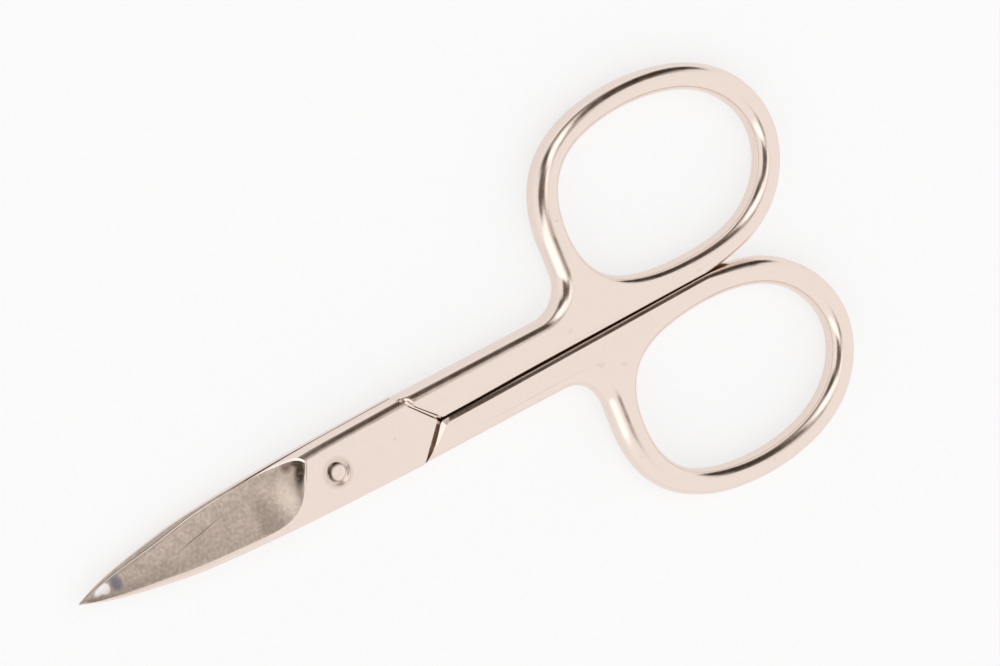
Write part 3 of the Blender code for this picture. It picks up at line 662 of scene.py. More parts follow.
def plate_edge_rows(heel):
    """The plate's rounded edge from the shank to the heel, a row for each point of the heel."""
    rows = []
    for x, y, z in heel:
        inset_here = blade_half_width(EDGE_SHAPE, x) - y
        along = np.linspace(STEP_START + ARM_SLANT * inset_here, x, PLATE_EDGE_STATIONS)
        across = blade_half_width(EDGE_SHAPE, along) - inset_here
        rows.append(np.column_stack([along, across, np.full(len(along), z)]))
    return rows


def edge_rows(heel):
    """The cutting edge on the inner face, and the top of the land above it, tip to heel."""
    blade = np.linspace(-BLADE_LENGTH, SCOOP_START, BLADE_STATIONS)
    scoop = np.linspace(SCOOP_START, heel[0, 0], SCOOP_STATIONS + 1)[1:]
    x = np.concatenate([blade, scoop])
    y = blade_half_width(EDGE_SHAPE, x)
    share = blade_thickness_share(x)
    rise = (PLATE_TOP - EDGE_Z) * np.exp((x - HEEL) / WHEEL_RUN_OUT)
    land = EDGE_LAND_WIDTH * share * np.clip(1 - rise / (heel[0, 2] - EDGE_Z), 0, 1)
    lower = np.column_stack([x, y, np.full(len(x), INNER_FACE)])
    upper = np.column_stack([x, y - land, INNER_FACE + (EDGE_LAND_HEIGHT + rise) * share])
    upper[-1] = heel[0]
    return lower, upper


def crease_row(spine, heel):
    """Where the ground bevel meets the polished faces, from the tip to the heel."""
    straight = np.column_stack([spine[:, 0], spine[:, 1] + spine_band(spine[:, 0])])
    scoop = [
        (between(SCOOP_START, HEEL, along), PLATE_HALF_WIDTH * across)
        for along, across in SCOOP_SHAPE
    ]
    curve = spline([*straight[CREASE_GUIDES], *scoop, heel[-1, :2]], CURVE_SAMPLES)
    start = int(np.linalg.norm(curve - straight[-1], axis=1).argmin())
    curve = np.vstack([straight[-1], curve[start + 1:]])
    steps = np.linalg.norm(np.diff(curve, axis=0), axis=1)
    lengths = np.concatenate([[0], np.cumsum(steps)])
    places = np.linspace(0, lengths[-1], SCOOP_STATIONS + len(heel))[1:]
    around = np.column_stack([np.interp(places, lengths, curve[:, i]) for i in range(2)])
    plan = np.vstack([straight, around])
    return np.column_stack([plan, blade_top(plan[:, 0])])


def rim_shares(reach, start, whole):
    """Width of a rim at each station, as a share of the bevel's width there."""
    station = np.arange(len(reach)) - BLADE_STATIONS + 1
    width = RIM_WIDTH * ramp(station, start, whole)
    return np.clip(np.maximum(width, RIM_LEAST) / np.maximum(reach, RIM_LEAST), 0, RIM_MOST)


def bevel_rows(rail, crease):
    """The hollow-ground surface from the cutting edge to the crease, between two narrow rims."""
    fade = ramp(np.arange(len(rail)), BLADE_STATIONS - 1, len(rail) - 1)
    power = between(BEVEL_HOLLOW, HEEL_HOLLOW, fade)
    reach = np.linalg.norm((crease - rail)[:, :2], axis=1)
    first = rim_shares(reach, TOP_RIM_START, TOP_RIM_WHOLE)
    last = 1 - rim_shares(reach, SIDE_RIM_START, SIDE_RIM_WHOLE)
    floor = rail[:, 2] - np.minimum(RIM_DIP, (crease - rail)[:, 2] * RIM_DIP_MOST) * fade
    rise = crease[:, 2] - floor
    rise -= np.minimum(RIM_DROP, rise) * fade
    rows = [rail]
    for step in np.linspace(0, 1, BEVEL_STEPS - 1):
        across = between(first, last, step)
        row = between(rail, crease, across[:, None])
        row[:, 2] = floor + rise * (across / last) ** power
        rows.append(row)
    return [*rows, crease]


def add_bow_faces(bm, rows, hole, bow_start, order, first, last):
    """One side of the bow: its finger hole's edge, the face of its rod, and the web and shank."""
    around = order[0] - np.arange((order[0] - order[-1]) % HOLE_POINTS + 1)
    add_grid(bm, hole, closed=True)
    add_grid(bm, [rows[-1][bow_start:bow_start + len(order)], hole[-1][order]])
    web = [
        *rows[-1][first:bow_start + 1], *hole[-1][around],
        *rows[-1][bow_start + len(order) - 1:last],
    ]
    add_face(bm, web)


def add_blade_and_plate(bm, upper, shoulder, foot, bore, way):
    """The half-thickness blade and joint plate, with the pivot hole through them."""
    heel = heel_rail()
    plate_edge = at_meeting_line(plate_edge_rows(heel), way)
    for row, top in zip(plate_edge, upper):
        row[0] = top[-1]
    edge_low, edge_high = edge_rows(heel)
    rail = np.vstack([edge_high, heel[1:]])
    crease = crease_row(upper[0][:BLADE_STATIONS], heel)
    spine_low = level(upper[0], INNER_FACE)[:foot + 1]
    scoop = BLADE_STATIONS - 1
    steps = len(STEP_SHAPE)

    bevel = bevel_rows(rail, crease)
    add_grid(bm, bevel[1:-1], slot=GROUND)
    for rim, start in ((bevel[:2], TOP_RIM_START), (bevel[-2:], SIDE_RIM_START)):
        start += BLADE_STATIONS - 1
        add_grid(bm, [row[:start + 1] for row in rim], slot=GROUND)
        add_grid(bm, [row[start:] for row in rim], slot=HONED)
    add_grid(bm, [edge_low, edge_high], slot=HONED)
    add_grid(bm, [crease[:scoop + 1], upper[-1][:scoop + 1]])
    # The plate's flank on the cutting edge's side, painted dark brown as shade
    add_grid(bm, [level(plate_edge[0], INNER_FACE), plate_edge[0]], slot=CORNER_SHADE)
    add_grid(bm, plate_edge)

    hollow = []
    for across in np.linspace(0, 1, INNER_STEPS + 1):
        row = edge_low[:scoop + 1] * (1 - across) + spine_low[:scoop + 1] * across
        depth = INNER_HOLLOW * (1 - abs(2 * across - 1))
        row[:, 2] += depth * np.sin(np.linspace(0, math.pi, scoop + 1))
        hollow.append(row)
    add_grid(bm, hollow, slot=GROUND)

    rings = [circle(radius, z) for radius, z in bore]
    add_grid(bm, rings, closed=True)
    face = [*upper[-1][scoop:foot - steps + 2], *plate_edge[-1], *crease[scoop:-1][::-1]]
    add_face(bm, face, rings[0])
    for i in range(steps - 1):
        near = foot - steps + 1 + i
        far = -1 - i
        # The step's grooves are painted dark brown as shade
        slot = CORNER_SHADE if i in STEP_GROOVES else PLATE
        add_face(bm, [upper[-1][j] for j in (near, near + 1, far - 1, far)], slot=slot)
    inner = [
        *spine_low[scoop:], *level(shoulder[-2::-1], INNER_FACE),
        *level(upper[0][-2:-steps:-1][::-1], INNER_FACE),
        *level(plate_edge[0], INNER_FACE), *edge_low[scoop:-1][::-1],
        *[row[-1] for row in hollow[1:-1]],
    ]
    add_face(bm, inner, rings[-1], slot=GROUND)


def slant_along_step(rows, foot, back_start):
    """The step runs on over the rounded edges in its own direction, and its run-out with it."""
    first = foot - len(STEP_SHAPE) + 2
    gap = rows[first:back_start]
    gap[:, 7] = -ARM_SLANT * np.exp(-np.clip(gap[:, 0] - rows[foot, 0], 0, None))
    back = rows[back_start:]
    off_step = back[:, 0] - ARM_X - SHOULDER_SHIFT
    back[:, 7] = ARM_SLANT * np.exp(-np.clip(off_step, 0, None) / STEP_REACH)
    up_step = ramp(back[:, 0], STEP_START, ARM_X + SHOULDER_SHIFT)
    near = np.exp(-np.clip(off_step, 0, None) / STEP_RUN_OUT)
    back[:, 2:4] += STEP_RUN_OUT * (near * up_step)[:, None]


def half_bmesh(bore, way):
    """One forging with its inner face down, in millimetres from the pivot."""
    shoulder = shoulder_rows()
    shank, bow_start, order = shank_rows(shoulder[-1, 0])
    blade_and_plate = joined(spine_rows(), plate_rows())
    apex = blade_and_plate[-1, :2]
    near_gap = step_rows(apex, shank[0, :2], GAP_EDGE_ROUND, GAP_EDGE_HEIGHT)[1:-1]
    near_gap[:, 6] = GAP_EDGE_CHAMFER
    plate_corner = np.array([STEP_START, SHANK_OUTER])
    outside = step_rows(plate_corner, shank[-1, :2], SHANK_ROUND, SHANK_ROUND_HEIGHT)[-2::-1]
    rows = np.vstack([blade_and_plate, near_gap, shank, outside])
    foot = len(blade_and_plate) + len(near_gap)
    slant_along_step(rows, foot, foot + bow_start + len(order))
    upper = at_meeting_line(rounded_rows(rows), way)
    below = joined(shoulder, shank)[:-1]
    below[len(shoulder) - 1, 3] = SHOULDER_BEVEL
    low_start = len(shoulder) - 1 + bow_start
    off_shoulder = below[low_start + len(order):, 0] - shoulder[0, 0]
    slant = ARM_SLANT + SHOULDER_EDGE_ROUND * ARM_LENGTH / SHANK_WIDTH / SHANK_ROUND
    below[low_start + len(order):, 7] = slant * np.exp(-off_shoulder / STEP_REACH)
    lower = at_meeting_line(rounded_rows(below, closed=True, side=-1), way)
    hole_upper, hole_lower = (
        [row[::-1] for row in at_meeting_line(rounded_rows(hole_rows()[::-1], True, side), way)]
        for side in (1, -1)
    )

    bm = bmesh.new()
    add_grid(bm, [level(upper[0], INNER_FACE), *upper])
    add_grid(bm, [level(lower[0], INNER_FACE), *lower], closed=True)
    add_grid(bm, [hole_upper[0], hole_lower[0]], closed=True)
    past_outer = 1 - len(STEP_SHAPE)
    add_bow_faces(bm, upper, hole_upper, foot + bow_start, order, foot, past_outer or None)
    add_bow_faces(bm, lower, hole_lower, low_start, order, 0, None)
    add_blade_and_plate(bm, upper, lower[0][:len(shoulder)], foot, bore, way)
    bmesh.ops.remove_doubles(bm, verts=bm.verts, dist=WELD_DISTANCE)
    bmesh.ops.dissolve_degenerate(bm, edges=bm.edges, dist=WELD_DISTANCE)
    bmesh.ops.recalc_face_normals(bm, faces=bm.faces)
    for face in bm.faces:
        middle = face.calc_center_median()
        off_gap = middle.y - way * np.interp(middle.x, *zip(*MEETING_LINE)) - SHANK_GAP / 2
        # Faces that look across the gap between the shanks get the painted shade
        if middle.x > ARM_X and off_gap < SLIT_EDGE and face.normal.y < -SLIT_FACING:
            face.material_index = SLIT_SHADE
    for edge in bm.edges:
        finishes = {face.material_index for face in edge.link_faces} - {CORNER_SHADE, SLIT_SHADE}
        edge.smooth = len(finishes) < 2 and edge.calc_face_angle(math.pi) < SMOOTH_ANGLE
    return bm


def front_bore():
    """Rings of the tapped hole, from the shallow recess around the peened end."""
    radius = SCREW_RADIUS + THREAD_CLEARANCE
    recess = []
    for share in np.linspace(0, 1, RECESS_STEPS + 1):
        depth = NUB_RECESS_DEPTH * share * share * (3 - 2 * share)
        recess.append((between(NUB_RECESS_RADIUS, radius, share), PLATE_TOP - depth))
    return [*recess, (radius, INNER_FACE)]


def back_bore():
    """Rings of the countersunk running hole, parallel to the screw's head."""
    head = SCREW_HEAD_RADIUS + RUNNING_CLEARANCE
    radius = SCREW_RADIUS + RUNNING_CLEARANCE
    rim = PLATE_TOP - SCREW_HEAD_RIM - RUNNING_CLEARANCE * (math.sqrt(2) - 1)
    return [(head, PLATE_TOP), (head, rim), (radius, rim - (head - radius)), (radius, INNER_FACE)]


def as_mesh(bm, name, *materials):
    """What was built in the working mesh, as a mesh with its materials."""
    mesh = bpy.data.meshes.new(name)
    bm.to_mesh(mesh)
    bm.free()
    for material in materials:
        mesh.materials.append(material)
    return mesh


def finished_mesh(bm, name, *materials, turned=False):
    """The mesh in metres in the frame, turned over about the X axis for the back half."""
    if turned:
        bm.transform(Matrix.Rotation(math.pi, 4, "X"))
    bm.transform(Matrix.Translation(PIVOT) @ Matrix.Scale(MM, 4))
    for face in bm.faces:
        face.smooth = True
    return as_mesh(bm, name, *materials)


def add_object(name, data):
    obj = bpy.data.objects.new(name, data)
    bpy.context.scene.collection.objects.link(obj)
    return obj


def screw_profile(name):
    """Half the screw's outline as edges: peened crown at the front, countersunk head behind."""
    crown = np.sin(np.linspace(0, math.pi / 2, CROWN_STEPS + 1))
    slope = ramp(crown, NUB_FLAT_SHARE, 1)
    dome = NUB_EDGE_DROP * (1 - np.sqrt(1 - slope**2))
    cone = PLATE_TOP - SCREW_HEAD_RIM
    profile = [
        *zip(SCREW_RADIUS * crown, PLATE_TOP + NUB_HEIGHT - dome),
        (SCREW_RADIUS, -cone + SCREW_HEAD_RADIUS - SCREW_RADIUS),
        (SCREW_HEAD_RADIUS, -cone),
        (SCREW_HEAD_RADIUS, -PLATE_TOP + HEAD_EDGE_BREAK),
        (SCREW_HEAD_RADIUS - HEAD_EDGE_BREAK, -PLATE_TOP),
        (0, -PLATE_TOP),
    ]
    bm = bmesh.new()
    verts = [bm.verts.new((radius - SCREW_RADIUS, -z, 0)) for radius, z in profile]
    for pair in zip(verts, verts[1:]):
        bm.edges.new(pair)
    return as_mesh(bm, name)


def screw_tree(material):
    """Geometry nodes: turns the profile about the pivot's axis and cuts the driver slot."""
    tree = bpy.data.node_groups.new("Turned and slotted screw", "GeometryNodeTree")
    for name, kind in (
        ("Profile", "Geometry"), ("Radius", "Float"), ("Facets", "Int"),
        ("Slot size", "Vector"), ("Slot place", "Vector"), ("Slot turn", "Vector"),
    ):
        tree.interface.new_socket(name, in_out="INPUT", socket_type="NodeSocket" + kind)
    tree.interface.new_socket("Screw", in_out="OUTPUT", socket_type="NodeSocketGeometry")
    given = add_node(tree, "NodeGroupInput").node.outputs
    ring = add_node(
        tree, "GeometryNodeCurvePrimitiveCircle",
        {"Resolution": given["Facets"], "Radius": given["Radius"]},
    )
    path = add_node(tree, "GeometryNodeSetCurveNormal", {"Curve": ring}, mode="Z_UP")
    profile = add_node(tree, "GeometryNodeMeshToCurve", {"Mesh": given["Profile"]})
    turned = add_node(
        tree, "GeometryNodeCurveToMesh", {"Curve": path, "Profile Curve": profile}
    )
    welded = add_node(
        tree, "GeometryNodeMergeByDistance", {"Geometry": turned, "Distance": 2 * WELD_DISTANCE}
    )
    bar = add_node(tree, "GeometryNodeMeshCube", {"Size": given["Slot size"]})
    placed = add_node(
        tree, "GeometryNodeTransform",
        {"Geometry": bar, "Translation": given["Slot place"], "Rotation": given["Slot turn"]},
    )
    slotted = add_node(
        tree, "GeometryNodeMeshBoolean", {"Mesh 1": welded, "Mesh 2": placed},
        operation="DIFFERENCE", solver="EXACT",
    )
    real = add_node(tree, "GeometryNodeRealizeInstances", {"Geometry": slotted})
    plated = add_node(tree, "GeometryNodeSetMaterial", {"Geometry": real, "Material": material})
    add_node(tree, "NodeGroupOutput", {"Screw": plated})
    return tree


def turned_screw(name, material):
    """The screw as a plain mesh, in millimetres from the pivot."""
    blank = add_object(name, screw_profile(name))
    tree = screw_tree(material)
    modifier = blank.modifiers.new("Turning", "NODES")
    modifier.node_group = tree
    values = {
        "Radius": SCREW_RADIUS,
        "Facets": BORE_POINTS,
        "Slot size": (4 * SCREW_HEAD_RADIUS, SCREW_SLOT_WIDTH, 2 * SCREW_SLOT_DEPTH),
        "Slot place": (0.0, 0.0, -PLATE_TOP),
        "Slot turn": (0.0, 0.0, SCREW_SLOT_TURN),
    }
    for item in tree.interface.items_tree:
        if item.name in values:
            modifier[item.identifier] = values[item.name]
    bpy.context.view_layer.update()
    graph = bpy.context.evaluated_depsgraph_get()
    mesh = bpy.data.meshes.new_from_object(blank.evaluated_get(graph))
    bpy.data.objects.remove(blank)
    bm = bmesh.new()
    bm.from_mesh(mesh)
    bpy.data.meshes.remove(mesh)
    bmesh.ops.recalc_face_normals(bm, faces=bm.faces)
    for edge in bm.edges:
        edge.smooth = edge.calc_face_angle(math.pi) < SMOOTH_ANGLE
    return bm


def add_node(tree, kind, *inputs, output=None, **settings):
    """A new node with its settings and its inputs, each a value or a socket to join.

    Inputs come as one dict by name, or else in the order of the sockets that are in use.
    What comes back is the output that is named, or the first one in use.
    """
    node = tree.nodes.new(kind)
    for key, value in settings.items():
        setattr(node, key, value)
    if inputs and isinstance(inputs[0], dict):
        filled = [(node.inputs[key], value) for key, value in inputs[0].items()]
    else:
        filled = zip([socket for socket in node.inputs if socket.enabled], inputs)
    for socket, value in filled:
        if isinstance(value, bpy.types.NodeSocket):
            tree.links.new(value, socket)
        else:
            socket.default_value = (*value, 1) if socket.type == "RGBA" else value
    if output:
        return node.outputs[output]
    return next((socket for socket in node.outputs if socket.enabled), None)


def new_material(name):
    """An empty material, its tree, and the place on the object as a socket."""
    material = bpy.data.materials.new(name)
    material.use_nodes = True
    tree = material.node_tree
    tree.nodes.clear()
    return material, tree, add_node(tree, "ShaderNodeTexCoord", output="Object")


def tinted(colour, shares):
    """A colour times one share, or times a share for each of its channels."""
    return tuple(np.multiply(colour, shares))


def layered(tree, colour, *layers):
    """A colour with others laid over it in turn, each through its own mask."""
    for mask, over in layers:
        colour = add_node(tree, "ShaderNodeMix", mask, colour, over, data_type="RGBA")
    return colour


def cloudy(tree, place, size_mm, carried=None, stretch=(1, 1, 1), detail=2.0):
    """Noise with features about so many millimetres across, longer where stretched.

    Four numbers, low, high, start and end, carry it from start to end between low and high.
    """
    scale = tuple(1 / (MM * size_mm * s) for s in stretch)
    scaled = add_node(tree, "ShaderNodeMapping", {"Vector": place, "Scale": scale})
    noise = add_node(
        tree, "ShaderNodeTexNoise", {"Vector": scaled, "Scale": 1.0, "Detail": detail}
    )
    return add_node(tree, "ShaderNodeMapRange", noise, *carried) if carried else noise


def pits(tree, place, spacing_mm, size_mm):
    """A mask of tiny dots, strewn at about this spacing and missing from most places."""
    dots = add_node(
        tree, "ShaderNodeTexVoronoi", {"Vector": place, "Scale": 1 / (spacing_mm * MM)}
    )
    size = size_mm / spacing_mm
    dot = add_node(tree, "ShaderNodeMapRange", dots, size / 3, size, 1.0, 0.0)
    strewn = cloudy(tree, place, 3.1, (0.56, 0.62, 0, 0.8))
    return add_node(tree, "ShaderNodeMath", dot, strewn, operation="MULTIPLY")


def soft_ellipse(tree, place, middle, turn, size, soft, strength=1.0):
    """A mask inside an ellipsoid at a place, turned and sized, whose rim fades."""
    local = add_node(
        tree, "ShaderNodeMapping",
        {"Vector": place, "Location": middle, "Rotation": turn, "Scale": size},
        vector_type="TEXTURE",
    )
    off = add_node(tree, "ShaderNodeVectorMath", local, operation="LENGTH")
    return add_node(tree, "ShaderNodeMapRange", off, 1 - soft / 2, 1 + soft / 2, strength, 0.0)


def mark(tree, place, x, y, width, height, soft, turn=0.0, strength=1.0):
    """A mask inside an ellipse at a place in millimetres from the pivot, on every height."""
    middle = PIVOT + Vector((x, y, 0)) * MM
    size = (width * MM, height * MM, 1)
    return soft_ellipse(tree, place, middle, (0, 0, math.radians(turn)), size, soft, strength)


def finish_surface(tree, colour, roughness, reliefs, metallic=1.0, sheen=(1, 1, 1)):
    """The shader over reliefs, each a height and its depth in millimetres, coarsest first.

    A sheen below white dims what the surface reflects at a glance, as a dull film does.
    """
    normal = {}
    for height, depth in reliefs:
        relief = {"Height": height, "Distance": depth * MM, **normal}
        normal = {"Normal": add_node(tree, "ShaderNodeBump", relief)}
    shader = add_node(
        tree, "ShaderNodeBsdfPrincipled",
        {
            "Base Color": colour, "Metallic": metallic, "Roughness": roughness,
            "Specular Tint": sheen, **normal,
        },
    )
    add_node(tree, "ShaderNodeOutputMaterial", shader)


def plate_material(finish):
    """Nickel plate buffed on a mop: a warm mirror, a little wavy, with hairlines and tiny pits,
    painted shade over the screw's recess, and a thin dark line beside the scoop.

    Real hairlines are about 0.01 mm wide, so they are drawn coarser here, to show at all.
    """
    material, tree, place = new_material("Nickel plate buffed over forged steel")
    stained = tinted(finish.nickel, (0.84, 0.74, 0.64))
    pitted = tinted(finish.nickel, (0.3, 0.24, 0.2))
    recess_shade = tinted(finish.nickel, (0.8, 0.76, 0.73))
    colour = layered(
        tree, finish.nickel,
        (cloudy(tree, place, 1.3, (0.66, 0.8, 0.0, 0.6), detail=6.0), stained),
        (pits(tree, place, 1.4, 0.08), pitted),
        # Painted shade over the screw's recess
        (mark(tree, place, *NUB_RECESS_SHADE), recess_shade),
        (mark(tree, place, *PLATE_DARK_LINE), pitted),
    )
    hairline = cloudy(tree, place, 0.05, (0.55, 0.75, 0, 0.08), (30, 1, 1), 1.0)
    cloud = cloudy(tree, place, 1.2, (0.3, 0.7, -0.03, 0.04), detail=3.0)
    uneven = add_node(tree, "ShaderNodeMath", hairline, cloud, operation="ADD")
    rough = add_node(tree, "ShaderNodeMath", uneven, finish.nickel_roughness, operation="ADD")
    reliefs = [(cloudy(tree, place, 0.9), 0.004), (cloudy(tree, place, 0.09), 0.0006)]
    finish_surface(tree, colour, rough, reliefs)
    return material


def ground_material(finish):
    """Steel off the grinding wheel: satin and mottled, with fine lines across the blade.

    A bluish heat mark beside a bright honed spot near the tip and a scratch are the marks that
    grinding by hand leaves; a lighter patch in the scoop is painted light, and darker spots in its
    upper corner are painted shade. Faces near the lap are painted a little darker. The wheel's own
    lines are about 0.02 mm wide, so they are drawn coarser here, to show at all.
    """
    material, tree, place = new_material("Hollow-ground steel from a fine wheel")
    lines = cloudy(tree, place, 0.05, stretch=(1, 40, 40))
    mottle = cloudy(tree, place, 0.35, detail=6.0)
    cloud = cloudy(tree, place, 1.6, (0.3, 0.7, 0.0, 1.0), detail=4.0)
    light, dark = (tinted(finish.ground, share) for share in (1.25, 0.75))
    patchy = add_node(tree, "ShaderNodeMapRange", mottle, 0.34, 0.66)
    lined = add_node(tree, "ShaderNodeMapRange", lines, 0.5, 0.75, 0.0, 0.2)
    height = add_node(tree, "ShaderNodeSeparateXYZ", place, output="Z")
    off_lap = add_node(tree, "ShaderNodeMath", height, PIVOT.z, operation="SUBTRACT")
    off_lap = add_node(tree, "ShaderNodeMath", off_lap, operation="ABSOLUTE")
    # Faces near the lap plane are painted darker
    land = EDGE_Z * MM
    near_lap_dark = add_node(tree, "ShaderNodeMapRange", off_lap, land * 0.85, land * 0.95, 0.3, 0.0)
    colour = layered(
        tree, layered(tree, dark, (patchy, light)), (0.4, layered(tree, dark, (cloud, light))),
        (lined, dark), (near_lap_dark, tinted(finish.ground, 0.45)),
    )
    on_top = add_node(
        tree, "ShaderNodeMapRange", height, PIVOT.z + 0.05 * MM, PIVOT.z + 0.1 * MM
    )
    ragged = add_node(tree, "ShaderNodeMapRange", mottle, 0.2, 0.5, 0.5, 1.0)
    ragged_top = add_node(tree, "ShaderNodeMath", on_top, ragged, operation="MULTIPLY")
    for *shape, code in GRINDING_MARKS_AND_SCOOP_SHADE:
        spot = mark(tree, place, *shape)
        spot = add_node(tree, "ShaderNodeMath", ragged_top, spot, operation="MULTIPLY")
        colour = layered(tree, colour, (spot, hex_colour(code)))
    least = finish.ground_roughness - 0.04
    rough = add_node(tree, "ShaderNodeMapRange", lines, 0.3, 0.7, least, least + 0.1)
    grain = cloudy(tree, place, 0.12, detail=3.0)
    finish_surface(tree, colour, rough, [(lines, 0.0012), (grain, 0.001)])
    return material


def honed_material(finish):
    """The cutting edge's land and the scoop's rims, off a stone: bright, with a trace of lines.

    A stone's lines are about 0.01 mm wide, so they too are drawn coarser.
    """
    material, tree, place = new_material("Cutting edge honed on a stone")
    lines = cloudy(tree, place, 0.03, stretch=(12, 1, 1), detail=1.0)
    rough = add_node(tree, "ShaderNodeMapRange", lines, 0.3, 0.7, 0.2, 0.32)
    colour = layered(tree, hex_colour("FFFAF4"), (lines, finish.nickel))
    finish_surface(tree, colour, rough, [(lines, 0.0008)])
    return material


def peened_material(finish):
    """The screw's hammered end and turned head: softly dimpled, with a painted shadow crescent
    inside its rolled rim.
    """
    material, tree, place = new_material("Nickel plate over a peened screw end")
    dimple = add_node(
        tree, "ShaderNodeTexVoronoi",
        {"Vector": place, "Scale": 1 / (0.45 * MM), "Smoothness": 0.6}, feature="SMOOTH_F1",
    )
    wear = cloudy(tree, place, 0.35, (0.35, 0.7, 0.14, 0.26), detail=4.0)
    raised = add_node(tree, "ShaderNodeMapRange", dimple, 0.2, 0.8)
    off_inner = mark(tree, place, *RIM_SHADOW_INNER)
    off_inner = add_node(tree, "ShaderNodeMath", 1.0, off_inner, operation="SUBTRACT")
    # A dark crescent inside the rim, painted shade
    shadow_crescent = add_node(
        tree, "ShaderNodeMath", mark(tree, place, *RIM_SHADOW), off_inner, operation="MULTIPLY"
    )
    colour = layered(
        tree, finish.nickel,
        (raised, tinted(finish.nickel, 0.92)), (shadow_crescent, hex_colour("5E5046")),
    )
    finish_surface(tree, colour, wear, [(dimple, 0.02)])
    return material


def corner_shade_material():
    """Painted shade: dark brown in the narrow grooves and corners, where shade falls."""
    material, tree, place = new_material("Dark brown painted as shade in a corner")
    shade_mottle = cloudy(tree, place, 0.08, detail=3.0)
    colour = layered(tree, hex_colour("4A3626"), (shade_mottle, hex_colour("7A604A")))
    finish_surface(tree, colour, 0.55, [(shade_mottle, 0.01)], metallic=0.0)
    return material


def slit_shade_material(finish):
    """Nickel plate between the shanks: dull and a little pitted, and darkened, browned and dimmed in
    what it reflects as painted shade.
    """
    material, tree, place = new_material("Nickel plate darkened as painted shade between the shanks")
    cloud = cloudy(tree, place, 0.8, (0.35, 0.7, 0.0, 1.0), detail=4.0)
    shade_brown = tinted(finish.nickel, (1, 0.88, 0.76))
    colour = layered(tree, tinted(shade_brown, 0.36), (cloud, tinted(shade_brown, 0.5)))
    grain = cloudy(tree, place, 0.1, detail=3.0)
    rough = add_node(tree, "ShaderNodeMapRange", grain, 0.3, 0.7, 0.42, 0.55)
    # The low sheen dims its reflections, as painted shade
    finish_surface(tree, colour, rough, [(grain, 0.004)], sheen=(0.3, 0.22, 0.16))
    return material


def half_materials(finish):
    made = [plate_material(finish), ground_material(finish), honed_material(finish)]
    return [*made, corner_shade_material(), slit_shade_material(finish)]


class ForgeHalves(bpy.types.Operator):
    """Forges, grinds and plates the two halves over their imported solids"""

    bl_idname = "mesh.scissors_forge_halves"
    bl_label = "Forge the two halves"

    def execute(self, context):
        materials = half_materials(context.scene.scissors_finish)
        halves = (
            ("front", "front_half", "front_nickel_plate", front_bore(), 1),
            ("back", "back_half", "back_nickel_plate", back_bore(), -1),
        )
        for body, node, slot, bore, way in halves:
            name = node + "_steel"
            mesh = finished_mesh(half_bmesh(bore, way), name, *materials, turned=way < 0)
            half = add_object(name, mesh)
            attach(half, body)
            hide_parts(node)
        return {"FINISHED"}


class TurnScrew(bpy.types.Operator):
    """Turns, slots and peens the pivot screw"""

    bl_idname = "mesh.scissors_turn_screw"
    bl_label = "Turn the pivot screw"

    def execute(self, context):
        material = peened_material(context.scene.scissors_finish)
        bm = turned_screw("pivot_screw_peened", material)
        mesh = finished_mesh(bm, "pivot_screw_peened", material)
        if not mesh.polygons:
            raise RuntimeError("the screw came out empty")
        screw = add_object("pivot_screw_peened", mesh)
        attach(screw, "front")
        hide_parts("pivot_screw")
        return {"FINISHED"}


def table_material(stage):
    """White card table: matt, and to the eye and the metal nearer to plain white than its light."""
    material, tree, _ = new_material("White card table")
    matt = add_node(tree, "ShaderNodeBsdfDiffuse", {"Color": stage.table})
    rays = add_node(tree, "ShaderNodeLightPath").node.outputs
    seen = rays["Is Camera Ray"]
    for kind in ("Is Glossy Ray", "Is Transmission Ray"):
        seen = add_node(tree, "ShaderNodeMath", seen, rays[kind], operation="ADD")
    lift = add_node(tree, "ShaderNodeMath", seen, stage.table_lift, operation="MULTIPLY")
    glow = add_node(tree, "ShaderNodeEmission", {"Strength": TABLE_GLOW})
    both = add_node(tree, "ShaderNodeMixShader", lift, matt, glow)
    add_node(tree, "ShaderNodeOutputMaterial", both)
    return material


def tent_world(brightness):
    """An even light tent, with the dark and bright things in it as soft spots of direction."""
    world = bpy.data.worlds.new("Light tent")
    world.use_nodes = True
    tree = world.node_tree
    tree.nodes.clear()
    way = add_node(tree, "ShaderNodeTexCoord", output="Generated")
    colour = (brightness,) * 3
    for azimuth, zenith, width, height, soft, bright, code in TENT_SPOTS:
        turn = Euler((0, math.radians(zenith), math.radians(azimuth)), "XYZ")
        middle = turn.to_matrix() @ Vector((0, 0, 1))
        size = (math.sin(math.radians(height)), math.sin(math.radians(width)), 1)
        inside = soft_ellipse(tree, way, middle, turn, size, soft)
        colour = layered(tree, colour, (inside, tinted(hex_colour(code), bright)))
    tent = add_node(tree, "ShaderNodeBackground", {"Color": colour})
    add_node(tree, "ShaderNodeOutputWorld", tent)
    return world


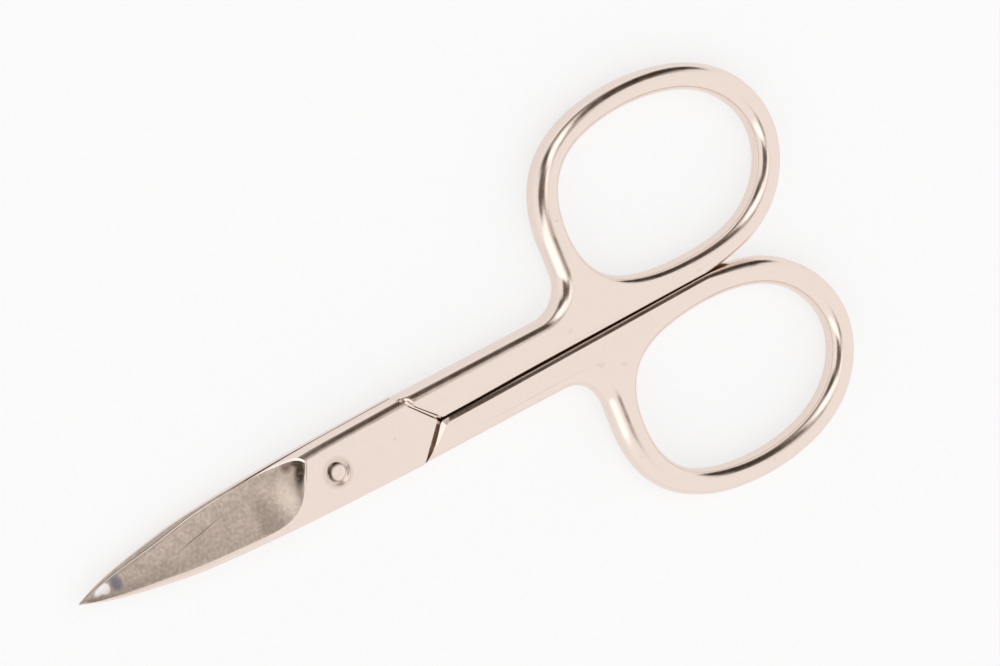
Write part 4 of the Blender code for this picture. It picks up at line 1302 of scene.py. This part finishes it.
class SetStage(bpy.types.Operator):
    """Sets the white table, the light tent with its cards, and the camera"""

    bl_idname = "scene.scissors_set_stage"
    bl_label = "Set the stage"

    def execute(self, context):
        stage = context.scene.scissors_stage
        bm = bmesh.new()
        bmesh.ops.create_grid(bm, x_segments=1, y_segments=1, size=TABLE_SIZE / 2)
        bmesh.ops.translate(bm, vec=(0, 0, -TABLE_DROP), verts=bm.verts)
        mesh = as_mesh(bm, "white_table", table_material(stage))
        add_object("white_table", mesh)

        context.scene.world = tent_world(stage.tent_light)

        camera = add_object("Camera", bpy.data.cameras.new("Camera"))
        camera.location = CAMERA_PLACE
        camera.rotation_euler = Euler([math.radians(a) for a in CAMERA_TURN], "XYZ")
        camera.data.sensor_width = CAMERA_SENSOR
        camera.data.lens = stage.lens
        camera.data.clip_start = CAMERA_NEAR
        context.scene.camera = camera
        context.scene.view_settings.view_transform = "Standard"
        return {"FINISHED"}


class ScissorsPanel(bpy.types.Panel):
    """The steps that dress the scissors, in order"""

    bl_idname = "VIEW3D_PT_scissors"
    bl_label = "Nail Scissors"
    bl_space_type = "VIEW_3D"
    bl_region_type = "UI"
    bl_category = "Scissors"

    def draw(self, context):
        for settings in (context.scene.scissors_finish, context.scene.scissors_stage):
            for key in type(settings).__annotations__:
                self.layout.prop(settings, key)
        for step in STEPS:
            self.layout.operator(step.bl_idname)


STEPS = (ForgeHalves, TurnScrew, SetStage)
CLASSES = (FinishSettings, StageSettings, *STEPS, ScissorsPanel)


def register():
    for cls in CLASSES:
        bpy.utils.register_class(cls)
    bpy.types.Scene.scissors_finish = bpy.props.PointerProperty(type=FinishSettings)
    bpy.types.Scene.scissors_stage = bpy.props.PointerProperty(type=StageSettings)


def unregister():
    del bpy.types.Scene.scissors_finish
    del bpy.types.Scene.scissors_stage
    for cls in reversed(CLASSES):
        bpy.utils.unregister_class(cls)


def main():
    register()
    bpy.ops.mesh.scissors_forge_halves()
    bpy.ops.mesh.scissors_turn_screw()
    bpy.ops.scene.scissors_set_stage()


if __name__ == "__main__":
    main()
